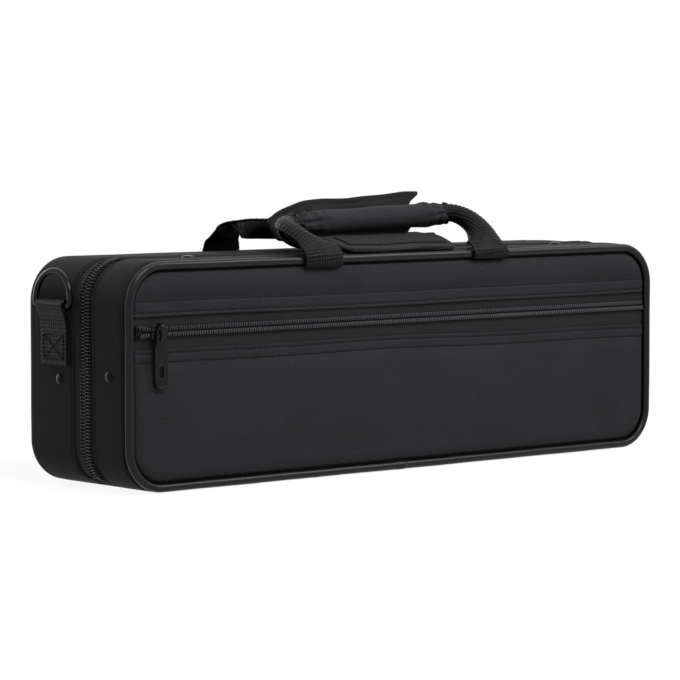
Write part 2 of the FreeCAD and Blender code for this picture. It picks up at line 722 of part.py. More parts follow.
# Wrap: a floor under the grip, a front flap down to the piping and a back flap standing up
half_wrap = sheet.wrap_thickness / 2
floor_top = grip_height - sheet.grip_radius - sheet.front_left_drop / 2 - sheet.joint_gap
floor_front = grip_depth - sheet.wrap_floor_width / 2 + sheet.wrap_floor_setback
wrap_floor = feature("wrap_floor", Part.makeBox(
    2 * sheet.wrap_half_length, sheet.wrap_floor_width, sheet.wrap_thickness,
    V(-sheet.wrap_half_length, floor_front, floor_top - sheet.wrap_thickness),
))
fold_gap = half_wrap + sheet.joint_gap
front_fold = V(0, floor_front - fold_gap, floor_top - half_wrap)
back_fold = V(0, floor_front + sheet.wrap_floor_width + fold_gap, floor_top - half_wrap + fold_gap)


def flap_plate(shares, depth, thickness, lift=0.0):
    """A flat flap in XY with its fold along X, from shares of the wrap's half length and of its depth."""
    points = [V(x * sheet.wrap_half_length, y * depth, lift - thickness / 2) for x, y in shares]
    return Part.Face(Part.makePolygon(points + points[:1])).extrude(V(0, 0, thickness))


def strip_plate(depth, lift):
    """A strip of fastener tape on a flap's face."""
    width = sheet.fastener_strip_width
    length = sheet.fastener_strip_length
    return Part.makeBox(length, width, sheet.fastener_strip, V(-length / 2, (depth - width) / 2, lift))


def lay(name, solid, fold, run):
    """Lays a flat flap so that its own +Y runs along a direction in YZ from its fold."""
    item = feature(name, solid)
    item.Placement = FreeCAD.Placement(fold, FreeCAD.Rotation(X_AXIS, run, X_AXIS.cross(run), "ZXY"))
    return item


flap_drop = front_fold.z - sheet.case_height - half_wrap - 2 * sheet.joint_gap
flap_slope = math.asin(flap_drop / sheet.front_flap_depth)
front_run = V(0, -math.cos(flap_slope), -math.sin(flap_slope))
back_run = V(0, BACK_FLAP_LEAN_SHARE, 1).normalize()
front_flap = flap_plate(FRONT_FLAP_SHARES, sheet.front_flap_depth, sheet.wrap_thickness)
back_flap = flap_plate(BACK_FLAP_SHARES, sheet.back_flap_height, sheet.wrap_thickness)
wrap_front_flap = lay("wrap_front_flap", front_flap, front_fold, front_run)
wrap_back_flap = lay("wrap_back_flap", back_flap, back_fold, back_run)
strip_lift = -half_wrap - sheet.fastener_strip
hook_strip = lay("hook_strip", strip_plate(sheet.front_flap_depth, strip_lift), front_fold, front_run)
loop_strip = lay("loop_strip", strip_plate(sheet.back_flap_height, strip_lift), back_fold, back_run)

SUBPARTS = (
    base_piping, base_back_panel, base_back_padding, base_gusset, base_hinge_gusset, base_zip_tape,
    base_zip_coil, base_board, base_lining, base_rivets, flute_insert, left_ring_tab, right_ring_tab,
    left_ring, right_ring, rear_handle_strap,
    lid_piping, lid_gusset, lid_hinge_gusset, lid_zip_tape, lid_zip_coil, lid_wall_cover,
    lid_board, lid_lining, lid_pad, lid_rivets,
    pocket_top_panel, pocket_panel, pocket_tape_upper, pocket_tape_lower, pocket_coil_upper,
    pocket_coil_lower, pocket_stops, pocket_slider, pocket_pull, main_slider, main_pull,
    front_handle_strap, grip_sleeve, grip_padding, wrap_floor, wrap_front_flap, wrap_back_flap,
    hook_strip, loop_strip,
)

doc.recompute()
for item in doc.Objects:
    if "Invalid" in item.State or "Error" in item.State:
        raise RuntimeError(f"{item.Label} failed: {item.State}")
for item in SUBPARTS:
    if item.Shape.isNull() or not item.Shape.isValid() or not item.Shape.Solids:
        raise RuntimeError(f"{item.Label} has no valid solid")
for item in SUBPARTS:
    item.Shape.exportStep(f"parts/{item.Label}.step")
    box = item.Shape.BoundBox
    print(
        f"{item.Label:22s} {len(item.Shape.Solids)} solids {item.Shape.Volume:12.1f} mm3"
        f"  x {box.XMin:8.2f} {box.XMax:8.2f}  y {box.YMin:7.2f} {box.YMax:7.2f}"
        f"  z {box.ZMin:7.2f} {box.ZMax:7.2f}"
    )
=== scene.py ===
import json
import math

import bmesh
import bpy
import numpy as np
from mathutils import Matrix, Vector


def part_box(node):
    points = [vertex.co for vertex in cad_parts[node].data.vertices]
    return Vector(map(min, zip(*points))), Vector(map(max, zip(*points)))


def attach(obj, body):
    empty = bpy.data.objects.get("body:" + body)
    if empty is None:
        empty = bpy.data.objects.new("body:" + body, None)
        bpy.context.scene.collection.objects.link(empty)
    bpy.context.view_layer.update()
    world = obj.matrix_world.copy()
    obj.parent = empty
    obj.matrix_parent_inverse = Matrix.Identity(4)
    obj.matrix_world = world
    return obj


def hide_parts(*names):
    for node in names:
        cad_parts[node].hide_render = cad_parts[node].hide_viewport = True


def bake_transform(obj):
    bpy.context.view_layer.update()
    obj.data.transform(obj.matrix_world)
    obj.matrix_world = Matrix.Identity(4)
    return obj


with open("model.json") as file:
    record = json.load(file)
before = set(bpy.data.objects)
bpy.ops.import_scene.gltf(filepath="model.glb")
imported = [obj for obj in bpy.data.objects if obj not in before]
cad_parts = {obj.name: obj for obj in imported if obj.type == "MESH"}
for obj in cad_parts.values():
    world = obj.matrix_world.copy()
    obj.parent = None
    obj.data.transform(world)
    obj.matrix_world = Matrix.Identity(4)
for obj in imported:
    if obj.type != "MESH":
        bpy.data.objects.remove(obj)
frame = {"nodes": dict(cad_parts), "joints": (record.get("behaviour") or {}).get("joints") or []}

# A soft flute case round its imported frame. Places and sizes are in millimetres, and MM turns them into
# metres. X runs along the case, the pocket side faces -Y and +Z is up.
MM = 0.001
X, Y, Z = 0, 1, 2
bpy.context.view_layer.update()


def span(node, axis):
    """Where a CAD node starts and stops along an axis."""
    low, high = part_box(node)
    return low[axis] / MM, high[axis] / MM


def pin(joint):
    """The place that a joint turns about."""
    return next(np.array(j["pos_m"]) / MM for j in frame["joints"] if j["name"] == joint)


# The case's outline and the places in depth that many pieces share
HALF = span("lid_piping", X)[1]
TOP = span("lid_piping", Z)[1]
CORNER = 25.0
FRONT = span("pocket_panel", Y)[0]
BACK = span("base_back_panel", Y)[1]
PARTING = pin("lid_hinge")[Y]
SEAM_HEIGHT = span("base_gusset", Z)[0]
PANEL_MARGIN = HALF - span("base_back_panel", X)[1]
STRAIGHT = HALF - CORNER
SIDE = TOP - 2 * CORNER
QUARTER = math.pi / 2 * CORNER
RUN_STOPS = np.cumsum([0, STRAIGHT, QUARTER, SIDE, QUARTER, 2 * STRAIGHT, QUARTER, SIDE, QUARTER, STRAIGHT])
CENTRE_X = STRAIGHT * np.array([0, -1, -1, -1, -1, 1, 1, 1, 1, 0])
CENTRE_Z = np.where([0, 0, 0, 1, 1, 1, 1, 0, 0, 0], TOP - CORNER, CORNER)
FACING = -90 * np.array([1, 1, 2, 2, 3, 3, 4, 4, 5, 5])
ROUND = RUN_STOPS[-1]
ARCH_START = STRAIGHT + CORNER * math.acos(1 - SEAM_HEIGHT / CORNER)
ARCH_STOP = ROUND - ARCH_START


def smoothstep(low, high, value):
    share = np.clip((value - low) / (high - low), 0, 1)
    return share * share * (3 - 2 * share)


def unit(vectors):
    return vectors / np.maximum(np.linalg.norm(vectors, axis=-1, keepdims=True), 1e-9)


def steps(*stops_and_sizes):
    """Numbers that run through stops, each stop followed by the size of the steps to the next one."""
    stops = stops_and_sizes[::2]
    sizes = stops_and_sizes[1::2]
    parts = []
    for low, high, size in zip(stops, stops[1:], sizes):
        parts.append(np.linspace(low, high, max(1, round(abs(high - low) / size)), endpoint=False))
    return np.concatenate(parts + [[stops[-1]]])


# Meshes


def mesh_piece(name, points, faces, coords):
    """A closed mesh. Each face lists points, and coords are the cloth's own millimetres at each corner."""
    mesh = bpy.data.meshes.new(name)
    mesh.from_pydata((np.asarray(points) * MM).tolist(), [], faces)
    layer = mesh.uv_layers.new(name="cloth")
    layer.data.foreach_set("uv", np.asarray(coords, float).ravel())
    work = bmesh.new()
    work.from_mesh(mesh)
    bmesh.ops.recalc_face_normals(work, faces=work.faces)
    work.to_mesh(mesh)
    work.free()
    mesh.shade_smooth()
    mesh.set_sharp_from_angle(angle=math.radians(52))
    piece = bpy.data.objects.new(name, mesh)
    bpy.context.scene.collection.objects.link(piece)
    return piece


def lie_of(grid, around=False, closed=False):
    """The cloth's own coordinates on a grid: along its stations and across them."""
    length = np.linalg.norm(np.diff(grid, axis=0), axis=-1).mean(axis=1)
    middle = grid[len(grid) // 2]
    width = np.linalg.norm(np.diff(middle, axis=0), axis=-1)
    if closed:
        length = np.append(length, np.linalg.norm(grid[0] - grid[-1], axis=-1).mean())
    if around:
        width = np.append(width, np.linalg.norm(middle[0] - middle[-1]))
    along = np.concatenate([[0], np.cumsum(length)])
    across = np.concatenate([[0], np.cumsum(width)])
    return np.stack(np.meshgrid(along, across, indexing="ij"), -1)


def grid_faces(grid, around, closed, coords):
    stations, across = grid.shape[:2]
    rows = np.arange(stations if closed else stations - 1)[:, None]
    columns = np.arange(across if around else across - 1)[None, :]
    next_row = (rows + 1) % stations
    next_column = (columns + 1) % across
    corners = [(rows, columns), (rows, next_column), (next_row, next_column), (next_row, columns)]
    faces = np.stack([row * across + column + 0 * (rows + columns) for row, column in corners], -1)
    lies = [
        coords[rows, columns], coords[rows, columns + 1],
        coords[rows + 1, columns + 1], coords[rows + 1, columns],
    ]
    return faces.reshape(-1, 4).tolist(), np.stack(lies, 2).reshape(-1, 2).tolist()


def tube_piece(name, grid, closed=False, coords=None):
    """A solid whose sections close on themselves. Its ends are filled unless it is closed in a ring."""
    coords = lie_of(grid, True, closed) if coords is None else coords
    faces, lies = grid_faces(grid, True, closed, coords)
    if not closed:
        across = grid.shape[1]
        for start in (0, (len(grid) - 1) * across):
            faces.append(list(range(start, start + across)))
            lies.extend(coords[0 if start == 0 else -1, :across].tolist())
    return mesh_piece(name, grid.reshape(-1, 3), faces, lies)


def cloth_piece(name, outer, thickness, closed=False, coords=None, inner=None):
    """A cloth with two faces and rounded edges. Its outer face is a grid, stations by points across.

    A thick piece gives its own inner face instead, and keeps square edges.
    """
    if closed:
        along = np.roll(outer, -1, axis=0) - np.roll(outer, 1, axis=0)
    else:
        along = np.gradient(outer, axis=0)
    across = np.gradient(outer, axis=1)
    shrink = 0.5 if inner is None else 1.0
    inner = outer - unit(np.cross(along, across)) * thickness if inner is None else inner
    lean = 0.35 * abs(thickness)
    low_edge = (outer[:, :1] + inner[:, :1]) / 2 - unit(across[:, :1]) * lean
    high_edge = (outer[:, -1:] + inner[:, -1:]) / 2 + unit(across[:, -1:]) * lean
    grid = np.concatenate([outer, high_edge, inner[:, ::-1], low_edge], axis=1)
    coords = lie_of(outer, False, closed) if coords is None else coords
    coords = np.concatenate([coords, coords[:, -1:], coords[:, ::-1], coords[:, :1], coords[:, :1]], axis=1)
    if not closed:
        across_count = outer.shape[1]
        ends = []
        for station, sign in ((0, -1), (-1, 1)):
            middle = (outer[station] + inner[station]) / 2
            middle = np.concatenate([middle, high_edge[station], middle[::-1], low_edge[station]])
            push = unit(along[station]) * sign * lean
            push = np.concatenate([push, push[-1:], push[::-1], push[:1]])
            ends.append(middle + (grid[station] - middle) * shrink + push)
        grid = np.concatenate([ends[:1], grid, ends[1:]])
        coords = np.concatenate([coords[:1], coords, coords[-1:]])
    faces, lies = grid_faces(grid, True, closed, coords)
    if not closed:
        size = grid.shape[1]
        for station in (0, len(grid) - 1):
            start = station * size
            for j in range(across_count - 1):
                quad = (j, j + 1, size - 3 - j, size - 2 - j)
                faces.append([start + corner for corner in quad])
                lies.extend(coords[station, list(quad)].tolist())
            for corner_set in ((across_count - 1, across_count, across_count + 1), (size - 1, 0, size - 2)):
                faces.append([start + corner for corner in corner_set])
                lies.extend(coords[station, list(corner_set)].tolist())
    return mesh_piece(name, grid.reshape(-1, 3), faces, lies)


def scatter_piece(name, shape, places):
    """Copies of one small shape. A shape is (points, faces), a place is (origin, x, y, z directions)."""
    points, faces = shape
    places = np.asarray(places, float)
    copies = places[:, None, 0] + np.einsum("pk,nkc->npc", points, places[:, 1:])
    offsets = np.arange(len(places)) * len(points)
    all_faces = [[corner + offset for corner in face] for offset in offsets for face in faces]
    flat = [points[corner][:2] for face in faces for corner in face]
    return mesh_piece(name, copies.reshape(-1, 3), all_faces, flat * len(places))


def lathe_shape(profile, sides):
    """A shape turned about Z from a profile of (radius, height), which starts and ends on the axis."""
    profile = np.asarray(profile, float)
    turn = np.linspace(0, 2 * math.pi, sides, endpoint=False)
    rings = profile[1:-1]
    points = [(0, 0, profile[0, 1])]
    for radius, height in rings:
        points += [(radius * math.cos(a), radius * math.sin(a), height) for a in turn]
    points.append((0, 0, profile[-1, 1]))
    faces = [(0, 1 + (k + 1) % sides, 1 + k) for k in range(sides)]
    for ring in range(len(rings) - 1):
        low = 1 + ring * sides
        for k in range(sides):
            faces.append((low + k, low + (k + 1) % sides, low + sides + (k + 1) % sides, low + sides + k))
    low = 1 + (len(rings) - 1) * sides
    faces += [(low + k, low + (k + 1) % sides, len(points) - 1) for k in range(sides)]
    return np.array(points), faces


def pill_shape(length, width, height, bow=0.0, head=1.0):
    """A small rounded bar along X. bow lifts its middle, and head widens its far end."""
    stations = np.array([-1.0, -0.86, -0.5, 0.0, 0.5, 0.86, 1.0])
    girth = np.array([0.35, 0.8, 1.0, 1.0, 1.0, 0.8, 0.35]) * np.linspace(1, head, 7)
    turn = np.linspace(0, 2 * math.pi, 8, endpoint=False)
    points = []
    for place, size in zip(stations, girth):
        lift = bow * (1 - place * place)
        points += [
            (place * length / 2, size * width / 2 * math.cos(a), lift + size * height / 2 * math.sin(a))
            for a in turn
        ]
    faces = [list(range(8)), list(range(48, 56))]
    for station in range(6):
        for k in range(8):
            low = station * 8
            faces.append((low + k, low + (k + 1) % 8, low + 8 + (k + 1) % 8, low + 8 + k))
    return np.array(points), faces


def resample(path, step):
    """The same path at even steps. Columns past the first three ride along."""
    gaps = np.linalg.norm(np.diff(path[:, :3], axis=0), axis=1)
    runs = np.concatenate([[0], np.cumsum(gaps)])
    even = np.linspace(0, runs[-1], max(2, round(runs[-1] / step)) + 1)
    return np.stack([np.interp(even, runs, column) for column in path.T], -1)


def smooth_path(stops, step):
    """A smooth path through stops at even steps."""
    stops = np.asarray(stops, float)
    padded = np.vstack([2 * stops[0] - stops[1], stops, 2 * stops[-1] - stops[-2]])
    t = np.linspace(0, 1, 24, endpoint=False)[:, None]
    parts = []
    for a, b, c, d in zip(padded, padded[1:], padded[2:], padded[3:]):
        bend = (2 * a - 5 * b + 4 * c - d) * t ** 2 + (3 * b - a - 3 * c + d) * t ** 3
        parts.append(b + ((c - a) * t + bend) / 2)
    return resample(np.vstack(parts + [stops[-1:]]), step)


def places_along(path, outs, pitch):
    """Places at even steps along a path: origin, direction along, direction across and direction out."""
    both = resample(np.hstack([path, outs]), pitch)
    origins = (both[1:] + both[:-1])[:, :3] / 2
    along = unit(np.diff(both[:, :3], axis=0))
    out = (both[1:] + both[:-1])[:, 3:] / 2
    out = unit(out - along * np.sum(out * along, axis=1, keepdims=True))
    return np.stack([origins, along, np.cross(out, along), out], axis=1)


def place_in(piece, origin, x, y, z):
    """Moves a piece that was made about its own origin to a place in the case."""
    turn = Matrix(np.array([x, y, z], float).T.tolist()).to_4x4()
    piece.data.transform(Matrix.Translation(Vector(np.asarray(origin, float) * MM)) @ turn)
    return piece


def plate_piece(name, outline, holes, thickness, bevel):
    """A flat plate with rounded edges, from closed lists of (x, y) points, about its own middle plane."""
    curve = bpy.data.curves.new(name, "CURVE")
    curve.dimensions = "2D"
    curve.fill_mode = "BOTH"
    curve.extrude = (thickness / 2 - bevel) * MM
    curve.bevel_depth = bevel * MM
    curve.bevel_resolution = 3
    curve.offset = -bevel * MM
    for loop in (outline, *holes):
        spline = curve.splines.new("POLY")
        spline.points.add(len(loop) - 1)
        for point, (x, y) in zip(spline.points, loop):
            point.co = (x * MM, y * MM, 0, 1)
        spline.use_cyclic_u = True
    holder = bpy.data.objects.new(f"{name}_curve", curve)
    bpy.context.scene.collection.objects.link(holder)
    bpy.context.view_layer.update()
    mesh = bpy.data.meshes.new_from_object(holder.evaluated_get(bpy.context.evaluated_depsgraph_get()))
    bpy.data.objects.remove(holder)
    work = bmesh.new()
    work.from_mesh(mesh)
    bmesh.ops.remove_doubles(work, verts=work.verts, dist=0.004 * MM)
    bmesh.ops.recalc_face_normals(work, faces=work.faces)
    work.to_mesh(mesh)
    work.free()
    while mesh.uv_layers:
        mesh.uv_layers.remove(mesh.uv_layers[0])
    flat = np.array([mesh.vertices[loop.vertex_index].co[:2] for loop in mesh.loops]) / MM
    mesh.uv_layers.new(name="cloth").data.foreach_set("uv", flat.ravel())
    mesh.name = name
    mesh.shade_smooth()
    mesh.set_sharp_from_angle(angle=math.radians(40))
    piece = bpy.data.objects.new(name, mesh)
    bpy.context.scene.collection.objects.link(piece)
    return piece


def joined(name, *pieces):
    """Several pieces as one."""
    work = bmesh.new()
    for piece in pieces:
        work.from_mesh(piece.data)
        bpy.data.objects.remove(piece)
    mesh = bpy.data.meshes.new(name)
    work.to_mesh(mesh)
    work.free()
    mesh.shade_smooth()
    mesh.set_sharp_from_angle(angle=math.radians(40))
    piece = bpy.data.objects.new(name, mesh)
    bpy.context.scene.collection.objects.link(piece)
    return piece


def arc(x, y, radius, start, stop, count=10):
    """Points (x, y) on an arc, between two angles in degrees."""
    turn = np.radians(np.linspace(start, stop, count))
    return [(x + radius * math.cos(a), y + radius * math.sin(a)) for a in turn]


def fit(piece, material, slot, body, *nodes):
    """Gives a piece its material, lets it ride on its body and stand for CAD nodes. The slot is not used."""
    piece.data.materials.clear()
    piece.data.materials.append(material)
    if body:
        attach(piece, body)
    if nodes:
        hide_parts(*nodes)
    return piece


# Materials


def linear(code):
    """An sRGB hex colour as a linear one."""
    shares = [int(code[place:place + 2], 16) / 255 for place in (1, 3, 5)]
    return (*(s / 12.92 if s <= 0.04045 else ((s + 0.055) / 1.055) ** 2.4 for s in shares), 1.0)


def add(tree, kind, inputs=None, **settings):
    """Adds a node with its settings and fills its inputs with values or with other nodes' sockets."""
    node = tree.nodes.new(f"ShaderNode{kind}")
    for name, value in settings.items():
        setattr(node, name, value)
    for name, value in (inputs or {}).items():
        if isinstance(value, bpy.types.NodeSocket):
            tree.links.new(value, node.inputs[name])
        else:
            node.inputs[name].default_value = value
    return node


def finish(name, roughness, **sockets):
    """An empty material of that name with its shader, whose sockets are set here."""
    material = bpy.data.materials.new(name)
    material.use_nodes = True
    tree = material.node_tree
    tree.nodes.clear()
    names = {key.replace("_", " ").title().replace("Ior", "IOR"): value for key, value in sockets.items()}
    shader = add(tree, "BsdfPrincipled", {"Roughness": roughness, **names})
    output = add(tree, "OutputMaterial", {"Surface": shader.outputs[0]})
    output.is_active_output = True
    return material, tree, shader


# The hook tape's rows are this far apart, a little coarser than real ones so that they show
RIB_PITCH = 2.2

# The webbing's crossings are this far apart, along it and across it
WEBBING_ROW = 2.3
WEBBING_COLUMN = 2.2

# A wave node's bands repeat every pi / 10 of its scaled coordinate, and its diagonal ones every pi / 5
BAND = math.pi / 10
SLANT_BAND = math.pi / 5 / math.sqrt(2)


def weave(tree, shader, colours, warp, weft, lift, slant=0.0, wear=0.18, bump=0.6):
    """Yarns under and over each other, warp and weft apart by real sizes, with a slanting rib if it has one.

    colours are the gaps' and the crowns' colours, and lift is the height of the yarns. The gaps' darker
    colour is painted shade between the yarns.
    """
    lie = add(tree, "UVMap", uv_map="cloth").outputs[0]
    warps = add(
        tree, "TexWave",
        {"Vector": lie, "Scale": BAND / warp, "Distortion": 0.5, "Detail": 1.0, "Detail Scale": 1.5},
        bands_direction="X", wave_profile="SIN",
    )
    wefts = add(
        tree, "TexWave",
        {"Vector": lie, "Scale": BAND / weft, "Distortion": 0.5, "Detail": 1.0, "Detail Scale": 1.5},
        bands_direction="Y", wave_profile="SIN",
    )
    height = add(
        tree, "Math", {0: warps.outputs["Fac"], 1: wefts.outputs["Fac"]}, operation="MAXIMUM",
    ).outputs[0]
    if slant:
        ribs = add(
            tree, "TexWave",
            {
                "Vector": lie, "Scale": SLANT_BAND / slant, "Distortion": 0.35, "Detail": 1.0,
                "Detail Scale": 0.8,
            },
            bands_direction="DIAGONAL", wave_profile="SIN",
        )
        shown = add(tree, "TexNoise", {"Vector": lie, "Scale": 0.02, "Detail": 1.0})
        share = add(tree, "MapRange", {0: shown.outputs["Fac"], 1: 0.38, 2: 0.62, 3: 0.3, 4: 0.75}).outputs[0]
        height = add(tree, "Mix", {0: share, 2: height, 3: ribs.outputs["Fac"]}).outputs[0]
    patches = add(tree, "TexNoise", {"Vector": lie, "Scale": 0.045, "Detail": 3.0, "Roughness": 0.6})
    tone = add(tree, "Mix", {0: wear, 2: height, 3: patches.outputs["Fac"]}).outputs[0]
    # The colour follows the yarns' height: painted shade in the gaps, mixed with random patches of real tone.
    colour = add(
        tree, "Mix", {0: tone, 6: linear(colours[0]), 7: linear(colours[1])}, data_type="RGBA",
        clamp_factor=True,
    )
    relief = add(tree, "Bump", {"Strength": bump, "Distance": lift * MM, "Height": height})
    tree.links.new(colour.outputs[2], shader.inputs["Base Color"])
    tree.links.new(relief.outputs[0], shader.inputs["Normal"])


def oxford_polyester():
    """Coated black polyester in a coarse oxford weave. The yarn steps make fine slanting lines on it, in
    relief and in painted shade, and its filament yarns keep a faint sheen."""
    material, tree, shader = finish(
        "oxford_polyester", 0.6, specular_ior_level=0.05, sheen_weight=0.015, sheen_roughness=0.45,
    )
    weave(tree, shader, ("#151516", "#343437"), 0.75, 0.75, 0.25, slant=1.45, bump=0.8)
    return material


def gusset_polyester_painted_shade():
    """The same cloth cut straight along the sides, where it lies tight over the board and looks plainer. Its
    colours are darker than the front cloth's: painted shade on the sides, the bottom and the wrap that use
    it.
    """
    material, tree, shader = finish(
        "gusset_polyester_painted_shade", 0.62, specular_ior_level=0.04, sheen_weight=0.01, sheen_roughness=0.5,
    )
    weave(tree, shader, ("#131314", "#2a2a2c"), 0.75, 0.75, 0.18, slant=1.45, bump=0.6)
    return material


def polypropylene_webbing():
    """Heavy black webbing. Each crossing stands up as a small shiny pill, so it shows as a grid of dots; the
    near-black gaps between the pills are painted shade.
    """
    material, tree, shader = finish("polypropylene_webbing", 0.36, specular_ior_level=0.08)
    lie = add(tree, "UVMap", uv_map="cloth").outputs[0]
    rows = add(
        tree, "TexWave", {"Vector": lie, "Scale": BAND / WEBBING_ROW, "Distortion": 0.2}, bands_direction="X",
    )
    columns = add(
        tree, "TexWave", {"Vector": lie, "Scale": BAND / WEBBING_COLUMN, "Distortion": 0.2},
        bands_direction="Y",
    )
    pills = add(
        tree, "Math", {0: rows.outputs["Fac"], 1: columns.outputs["Fac"]}, operation="MULTIPLY",
    ).outputs[0]
    pills = add(tree, "MapRange", {0: pills, 1: 0.2, 2: 0.85}, interpolation_type="SMOOTHSTEP").outputs[0]
    yarns = add(tree, "TexWave", {"Vector": lie, "Scale": BAND / 0.5, "Distortion": 0.6}, bands_direction="Y")
    height = add(tree, "Mix", {0: 0.12, 2: pills, 3: yarns.outputs["Fac"]}).outputs[0]
    # Near black in the gaps between the pills: painted shade.
    colour = add(
        tree, "Mix", {0: height, 6: linear("#040404"), 7: linear("#2c2c2e")}, data_type="RGBA",
        clamp_factor=True,
    )
    relief = add(tree, "Bump", {"Strength": 1.0, "Distance": 0.4 * MM, "Height": height})
    tree.links.new(colour.outputs[2], shader.inputs["Base Color"])
    tree.links.new(relief.outputs[0], shader.inputs["Normal"])
    return material


def vinyl_piping():
    """Soft vinyl drawn over a cord: smooth and satin, with a fine embossed grain that breaks up its light."""
    material, tree, shader = finish("vinyl_piping", 0.3, specular_ior_level=0.2)
    lie = add(tree, "UVMap", uv_map="cloth").outputs[0]
    grain = add(tree, "TexVoronoi", {"Vector": lie, "Scale": 1.6}, feature="DISTANCE_TO_EDGE")
    scuffs = add(tree, "TexNoise", {"Vector": lie, "Scale": 0.08, "Detail": 4.0})
    colour = add(
        tree, "Mix", {0: scuffs.outputs["Fac"], 6: linear("#08080a"), 7: linear("#101013")}, data_type="RGBA",
    )
    rough = add(tree, "MapRange", {0: scuffs.outputs["Fac"], 3: 0.26, 4: 0.38})
    relief = add(tree, "Bump", {"Strength": 0.25, "Distance": 0.08 * MM, "Height": grain.outputs["Distance"]})
    tree.links.new(colour.outputs[2], shader.inputs["Base Color"])
    tree.links.new(rough.outputs[0], shader.inputs["Roughness"])
    tree.links.new(relief.outputs[0], shader.inputs["Normal"])
    return material


def zip_tape():
    """Woven polyester zip tape: a close herringbone, flatter and a little lighter than the case's cloth."""
    material, tree, shader = finish(
        "zip_tape", 0.6, specular_ior_level=0.06, sheen_weight=0.015, sheen_roughness=0.5,
    )
    weave(tree, shader, ("#161618", "#2b2b2d"), 0.9, 0.45, 0.12, slant=0.8, bump=0.5)
    return material


def nylon_coil(name, dark, light):
    """Extruded nylon monofilament, dyed black. Each turn is smooth and carries one clear highlight. Its two
    copies below differ only in colour: one painted darker as shade, one painted lighter as light.
    """
    material, tree, shader = finish(name, 0.22, ior=1.53, specular_ior_level=0.25)
    lie = add(tree, "UVMap", uv_map="cloth").outputs[0]
    marks = add(tree, "TexNoise", {"Vector": lie, "Scale": 1.2, "Detail": 2.0})
    colour = add(tree, "Mix", {0: marks.outputs["Fac"], 6: linear(dark), 7: linear(light)}, data_type="RGBA")
    tree.links.new(colour.outputs[2], shader.inputs["Base Color"])
    return material


def painted_zinc():
    """Die-cast zinc under black enamel: glossy and slightly uneven, with bright lines on rounded edges."""
    material, tree, shader = finish(
        "painted_zinc", 0.18, specular_ior_level=0.14, coat_weight=0.06, coat_roughness=0.06,
    )
    lie = add(tree, "UVMap", uv_map="cloth").outputs[0]
    casting = add(tree, "TexNoise", {"Vector": lie, "Scale": 0.9, "Detail": 3.0})
    colour = add(
        tree, "Mix", {0: casting.outputs["Fac"], 6: linear("#050506"), 7: linear("#0b0b0c")},
        data_type="RGBA",
    )
    rough = add(tree, "MapRange", {0: casting.outputs["Fac"], 3: 0.12, 4: 0.26})
    relief = add(tree, "Bump", {"Strength": 0.15, "Distance": 0.1 * MM, "Height": casting.outputs["Fac"]})
    tree.links.new(colour.outputs[2], shader.inputs["Base Color"])
    tree.links.new(rough.outputs[0], shader.inputs["Roughness"])
    tree.links.new(relief.outputs[0], shader.inputs["Normal"])
    return material


def black_nickel():
    """Brass rivet caps in black nickel plate: a dark mirror, worn a little brighter in patches."""
    material, tree, shader = finish("black_nickel", 0.14, metallic=1.0)
    lie = add(tree, "UVMap", uv_map="cloth").outputs[0]
    wear = add(tree, "TexNoise", {"Vector": lie, "Scale": 0.8, "Detail": 3.0})
    colour = add(
        tree, "Mix", {0: wear.outputs["Fac"], 6: linear("#0e0e10"), 7: linear("#1c1c1e")}, data_type="RGBA",
    )
    tree.links.new(colour.outputs[2], shader.inputs["Base Color"])
    return material


def enamelled_wire():
    """Welded steel wire dipped in black enamel: the ring's finish, glossy with slight runs in the coat."""
    material, tree, shader = finish(
        "enamelled_wire", 0.18, specular_ior_level=0.14, coat_weight=0.05, coat_roughness=0.08,
    )
    lie = add(tree, "UVMap", uv_map="cloth").outputs[0]
    runs = add(tree, "TexNoise", {"Vector": lie, "Scale": 0.35, "Detail": 2.0})
    colour = add(
        tree, "Mix", {0: runs.outputs["Fac"], 6: linear("#08080a"), 7: linear("#101012")}, data_type="RGBA",
    )
    relief = add(tree, "Bump", {"Strength": 0.2, "Distance": 0.12 * MM, "Height": runs.outputs["Fac"]})
    tree.links.new(colour.outputs[2], shader.inputs["Base Color"])
    tree.links.new(relief.outputs[0], shader.inputs["Normal"])
    return material


def polyester_thread():
    """Bonded polyester sewing thread: two plies twisted, so each stitch shows slanting marks."""
    material, tree, shader = finish("polyester_thread", 0.5, specular_ior_level=0.06)
    lie = add(tree, "UVMap", uv_map="cloth").outputs[0]
    plies = add(tree, "TexWave", {"Vector": lie, "Scale": SLANT_BAND / 0.4}, bands_direction="DIAGONAL")
    colour = add(
        tree, "Mix", {0: plies.outputs["Fac"], 6: linear("#050506"), 7: linear("#121213")}, data_type="RGBA",
    )
    tree.links.new(colour.outputs[2], shader.inputs["Base Color"])
    return material


def hook_and_loop_hooks():
    """Woven hook tape: rows of stiff hooks that run across the strip and read as fine upright ribs, helped by
    bands of painted shade between the rows.
    """
    material, tree, shader = finish("hook_tape_nylon", 0.5, specular_ior_level=0.06)
    lie = add(tree, "UVMap", uv_map="cloth").outputs[0]
    hooks = add(tree, "TexVoronoi", {"Vector": lie, "Scale": 1.4}, feature="F1")
    rows = add(tree, "TexWave", {"Vector": lie, "Scale": BAND / RIB_PITCH}, bands_direction="X")
    tone = add(tree, "MapRange", {0: rows.outputs["Fac"], 1: 0.3, 2: 0.95}).outputs[0]
    # Near-black bands between the rows of hooks are painted shade.
    colour = add(tree, "Mix", {0: tone, 6: linear("#010101"), 7: linear("#2c2c2e")}, data_type="RGBA")
    relief = add(
        tree, "Bump", {"Strength": 0.7, "Distance": 0.3 * MM, "Height": hooks.outputs["Distance"]},
        invert=True,
    )
    tree.links.new(colour.outputs[2], shader.inputs["Base Color"])
    tree.links.new(relief.outputs[0], shader.inputs["Normal"])
    return material


